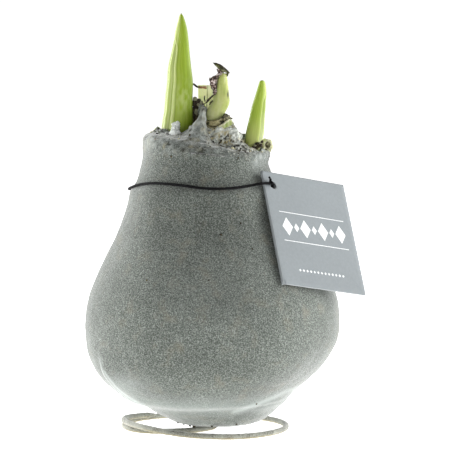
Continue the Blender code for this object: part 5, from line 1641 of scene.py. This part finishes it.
# Dark flecks by place in the picture, with their size
FLECKS = (
    (171, 157, 0.00045), (221, 235, 0.00045), (240, 223, 0.00042), (253, 249, 0.00038),
    (147, 281, 0.00042), (209, 281, 0.00038), (189.6, 135.5, 0.00050), (157, 134, 0.00045),
    (158, 128.5, 0.00050), (154.5, 130.5, 0.00030), (257, 404, 0.00035), (178, 422.6, 0.00045),
    (184, 424, 0.00035), (190, 425.5, 0.00050), (194, 426.5, 0.00070), (212, 425.6, 0.00055),
    (216, 425.2, 0.00070), (220, 424.6, 0.00075), (224, 424.6, 0.00050), (236, 423.5, 0.00045),
)

# Lumps of wax: seed, place from the neck's axis, half sizes and tilt. The white ones are at the left
# shoot's foot, the grey ones under the base and at the side of the stub
WHITE_LUMPS = (
    (401, -0.0120, -0.0058, 0.1158, 0.0008, 0.0005, 0.0007, 0.2),
    (407, -0.0107, -0.0059, 0.1161, 0.0009, 0.0006, 0.0008, -0.3),
    (409, -0.0114, -0.0059, 0.1151, 0.0010, 0.0006, 0.0009, 0.1),
    (410, -0.0105, -0.0059, 0.1146, 0.0008, 0.0006, 0.0009, 0.4),
    (411, -0.0121, -0.0060, 0.1141, 0.0010, 0.0007, 0.0008, -0.2),
    (412, -0.0110, -0.0064, 0.1137, 0.0012, 0.0008, 0.0010, 0.0),
    (402, -0.0120, -0.0090, 0.1130, 0.0016, 0.0011, 0.0014, -0.2),
    (403, -0.0104, -0.0098, 0.1119, 0.0022, 0.0014, 0.0015, 0.3),
)
GREY_LUMPS = (
    (408, -0.0009, -0.0046, 0.0021, 0.0028, 0.0018, 0.0012, 0.0),
    (404, -0.0014, -0.0014, 0.1194, 0.0017, 0.0016, 0.0036, 0.10),
    (405, -0.0014, -0.0030, 0.1166, 0.0016, 0.0014, 0.0030, 0.10),
)


def seen_spot(outside, across, down):
    """The front point of the wax that lies nearest to a place of the picture."""
    flat = outside.reshape(-1, 3)
    there, below = seen_place(flat)
    gaps = np.hypot(there - across, below - down) + np.where(flat[:, 1] < 0, 0, 999)
    return flat[gaps.argmin()]


def make_crumbs(outside, level, neck_top):
    """Crumbs of wax, scale and dry skin on the torn neck, and a few dark flecks on the body.

    Two smooth places of the rim's front stay bare.
    """
    random = np.random.default_rng(7)
    kinds = {"wax": [], "scale": [], "dry": []}

    def add(kind, place, radii, seed, rough, pale):
        """Puts a small lump with its paint on the list of its kind."""
        surface = skin(lump(place, radii, seed, rough, 5, 7))
        kinds[kind].append(plain(surface, pale=0 if kind == "dry" else pale))

    rim = outside[level[:, 0] > TOP_LEVEL - 0.9].reshape(-1, 3)
    cut = neck_top[:60].reshape(-1, 3)
    places = (rim, RIM_CRUMBS, 0.00020, 0.00060), (cut, CUT_CRUMBS, 0.00025, 0.00070)
    for spots, count, least, most in places:
        for index, spot in enumerate(spots[random.integers(0, len(spots), size=count)]):
            across, down = seen_place(spot)
            bare = np.hypot(across - 201, (down - 121) * 0.8) < 7 or (down > 141 and across < 232)
            if spot[1] < 0 and bare:
                continue
            radii = random.uniform(least, most) * random.uniform(0.6, 1.3, 3)
            kind = ("wax", "wax", "scale", "wax", "dry")[index % 5]
            add(kind, spot, radii * (0.7 if kind == "dry" else 1), index, 0.35, random.uniform(0.0, 0.8))
    for index, (across, down, size) in enumerate(FLECKS):
        place = seen_spot(outside, across, down)
        add("dry", place, (size, size * 0.6, size), 300 + index, 0.3, 0.0)
    for index in range(SCATTERED_CRUMBS):
        across = random.uniform(*SCATTER_ACROSS)
        down = SCATTER_TOP + SCATTER_SLOPE * (across - SCATTER_ACROSS[0]) + random.exponential(SCATTER_REACH)
        size = random.uniform(0.00018, 0.00038)
        place = seen_spot(outside, across, min(down, SCATTER_LOWEST))
        radii = size, 0.7 * size, 0.8 * size
        add("dry" if index % 3 == 2 else "wax", place, radii, 500 + index, 0.4, random.uniform(0.0, 0.35))
    for kind, material, slot in (
        ("wax", CRUST, "flocked_wax"),
        ("scale", SCALE_FLESH, "bulb_scale"),
        ("dry", DRY, "dry_scale"),
    ):
        make_piece(f"neck_crumbs_{kind}", kinds[kind], material)


def make_mound():
    """The crumbly slope before the green scale, and dry bits at the right shoot's foot.

    Its rows step forward as they go down, and small clumps and grains are added on all three axes.
    """
    along, down = np.linspace(0, 1, 200), np.linspace(0, 1, 60)[:, None]
    upper, lower = (smooth_path(line, len(along)) for line in (MOUND_UPPER, MOUND_LOWER))
    places = upper + (lower - upper) * down[..., None]
    ends = 0.0030 * (2 * along - 1) ** 6
    flat = seen_point(places[..., 0], places[..., 1], -0.0080 - 0.0036 * down**0.8 + ends)
    push = 0.00035 * clumps(flat, 0.0022, 421) + 0.00060 * grain(flat, 0.0012, 422)
    outer = flat + np.stack([0.4 * push, -push, 0.7 * push], axis=-1)
    inner = outer + [0, 0.0016, -0.0004]
    white = spots_on(flat, PALE_SPOTS[:1])
    pits = np.clip((grain(flat, 0.0014, 423) - 0.30) * 4.0, 0, 0.95) * eased((down - 0.15) / 0.3)
    pits = pits * (1 - white)
    values = {
        "pale": np.clip(0.68 + 1.0 * grain(flat, 0.0013, 424) + 1.6 * spots_on(flat, PALE_SPOTS), 0, 1),
        "dark": np.clip(np.maximum(pits, spots_on(flat, DARK_SPOTS)), 0, 0.95),
        "warm": np.clip(0.85 + spots_on(flat, WARM_SPOTS) - 1.6 * white, 0, 1),
    }
    make_piece("crumbly_slope", [blade(outer, inner, values=values)], CRUST)
    bits = []
    for index, (across, down, size) in enumerate(FOOT_BITS):
        radii = size * np.array((0.0006, 0.0005, 0.0005))
        shape = lump(seen_point(across, down, -0.0062), radii, 430 + index, 0.4)
        bits.append(plain(skin(shape), pale=0.6 if index % 4 == 1 else 0.0, dark=0.2 if index % 4 else 0.5))
    make_piece("shoot_foot_bits", bits, DRY)


def make_wax_lumps():
    """Lumps of wax that cling to the left shoot's foot, to the side of the stub and under the base."""
    for name, rows, material, roughness, light in (
        ("white_wax_lumps", WHITE_LUMPS, WHITE_WAX, 0.00042, 1.05),
        ("clinging_wax", GREY_LUMPS, WAX, 0.00030, 0.35),
    ):
        lumps = []
        for seed, x, y, z, wide, deep, tall, tilt in rows:
            shape = lump((NECK_X + x, y, z), (wide, deep, tall), seed, 0.34, 24, 34, tilt)
            shape = roughened(shape, roughness, 0.0013, seed)
            pale = np.clip(light + 0.4 * grain(shape, 0.0014, seed), 0, 1)
            lumps.append(skin(shape, values={"pale": pale, "dark": 0 * pale}))
        make_piece(name, lumps, material)


# The studio


def make_studio():
    """A white floor, a white surround that is dimmer overhead and behind the camera, and soft lights."""
    floor = bpy.data.meshes.new("white_floor")
    corners = [(-6, -6, 0), (6, -6, 0), (6, 6, 0), (-6, 6, 0)]
    floor.from_pydata(corners, [], [(0, 1, 2, 3)])
    floor.materials.append(floor_material())
    ground = bpy.data.objects.new("white_floor", floor)
    bpy.context.scene.collection.objects.link(ground)

    world = bpy.data.worlds.new("white surround")
    world.use_nodes = True
    tree = world.node_tree
    way = node(tree, "ShaderNodeSeparateXYZ", {0: node(tree, "ShaderNodeTexCoord").outputs["Generated"]})
    overhead = ramp(tree, way.outputs[2], ((0.10, 1.0), (0.60, 0.20)))
    behind = math_node(tree, "MULTIPLY_ADD", way.outputs[1], 0.5, 0.5)
    front = ramp(tree, behind, ((0.04, 0.31), (0.30, 0.33), (0.50, 0.80), (0.62, 0.95), (0.95, 0.53)))
    light = mixed(tree, 1.0, overhead, front, "MULTIPLY")
    background = tree.nodes["Background"]
    tree.links.new(light, background.inputs["Color"])
    background.inputs["Strength"].default_value = 2.0
    bpy.context.scene.world = world

    for name, place, power, size in (
        ("left soft light", (-0.75, 0.34, 0.30), 9.0, 0.6),
        ("right soft light", (0.78, 0.12, 0.30), 7.2, 0.6),
    ):
        lamp = bpy.data.lights.new(name, "AREA")
        lamp.energy = power
        lamp.size = size
        holder = bpy.data.objects.new(name, lamp)
        holder.location = place
        aim = Vector((0, 0, 0.06)) - holder.location
        holder.rotation_euler = aim.to_track_quat("-Z", "Y").to_euler()
        bpy.context.scene.collection.objects.link(holder)
    bpy.context.scene.view_settings.view_transform = "Standard"


def make_camera():
    """The photograph's camera: just above the neck, looking a little down."""
    camera = bpy.data.cameras.new("camera")
    camera.lens = CAMERA_LENS
    camera.clip_end = 20
    holder = bpy.data.objects.new("camera", camera)
    place = Vector(CAMERA_PLACE) + Vector((AXIS_X, 0, 0))
    aim = Vector(CAMERA_AIM) + Vector((AXIS_X, 0, 0))
    holder.location = place
    holder.rotation_euler = (aim - place).to_track_quat("-Z", "Y").to_euler()
    bpy.context.scene.collection.objects.link(holder)
    bpy.context.scene.camera = holder


make_camera()
make_studio()
wax_outside_points, wax_levels = make_wax()
neck_top_points = make_bulb()
make_neck_scales()
make_collar_band()
make_shoot(
    "left_shoot", LEFT_SHOOT, LEFT_SPANS, LEFT_LEAF, 0.1165, 0.97,
    pale_side=-165, streaks=((-114, 6, 0.14), (-92, 3, 0.10), (-55, 22, -0.12)), scuffs=0.7,
)
make_shoot(
    "right_shoot", RIGHT_SHOOT, RIGHT_SPANS, RIGHT_LEAF, 0.1190,
    pale_side=-10, streaks=((-62, 7, 0.16), (-118, 14, -0.04), (-24, 12, -0.22)),
)
make_stub()
make_crumpled_margin()
make_side_scale()
make_torn_edges()
make_cap()
make_back_leaf()
make_dark_scale()
make_green_scale()
make_curled_scale()
make_wax_lumps()
make_mound()
make_crumbs(wax_outside_points, wax_levels, neck_top_points)
make_wire()
make_cord()
make_tag()
make_print()
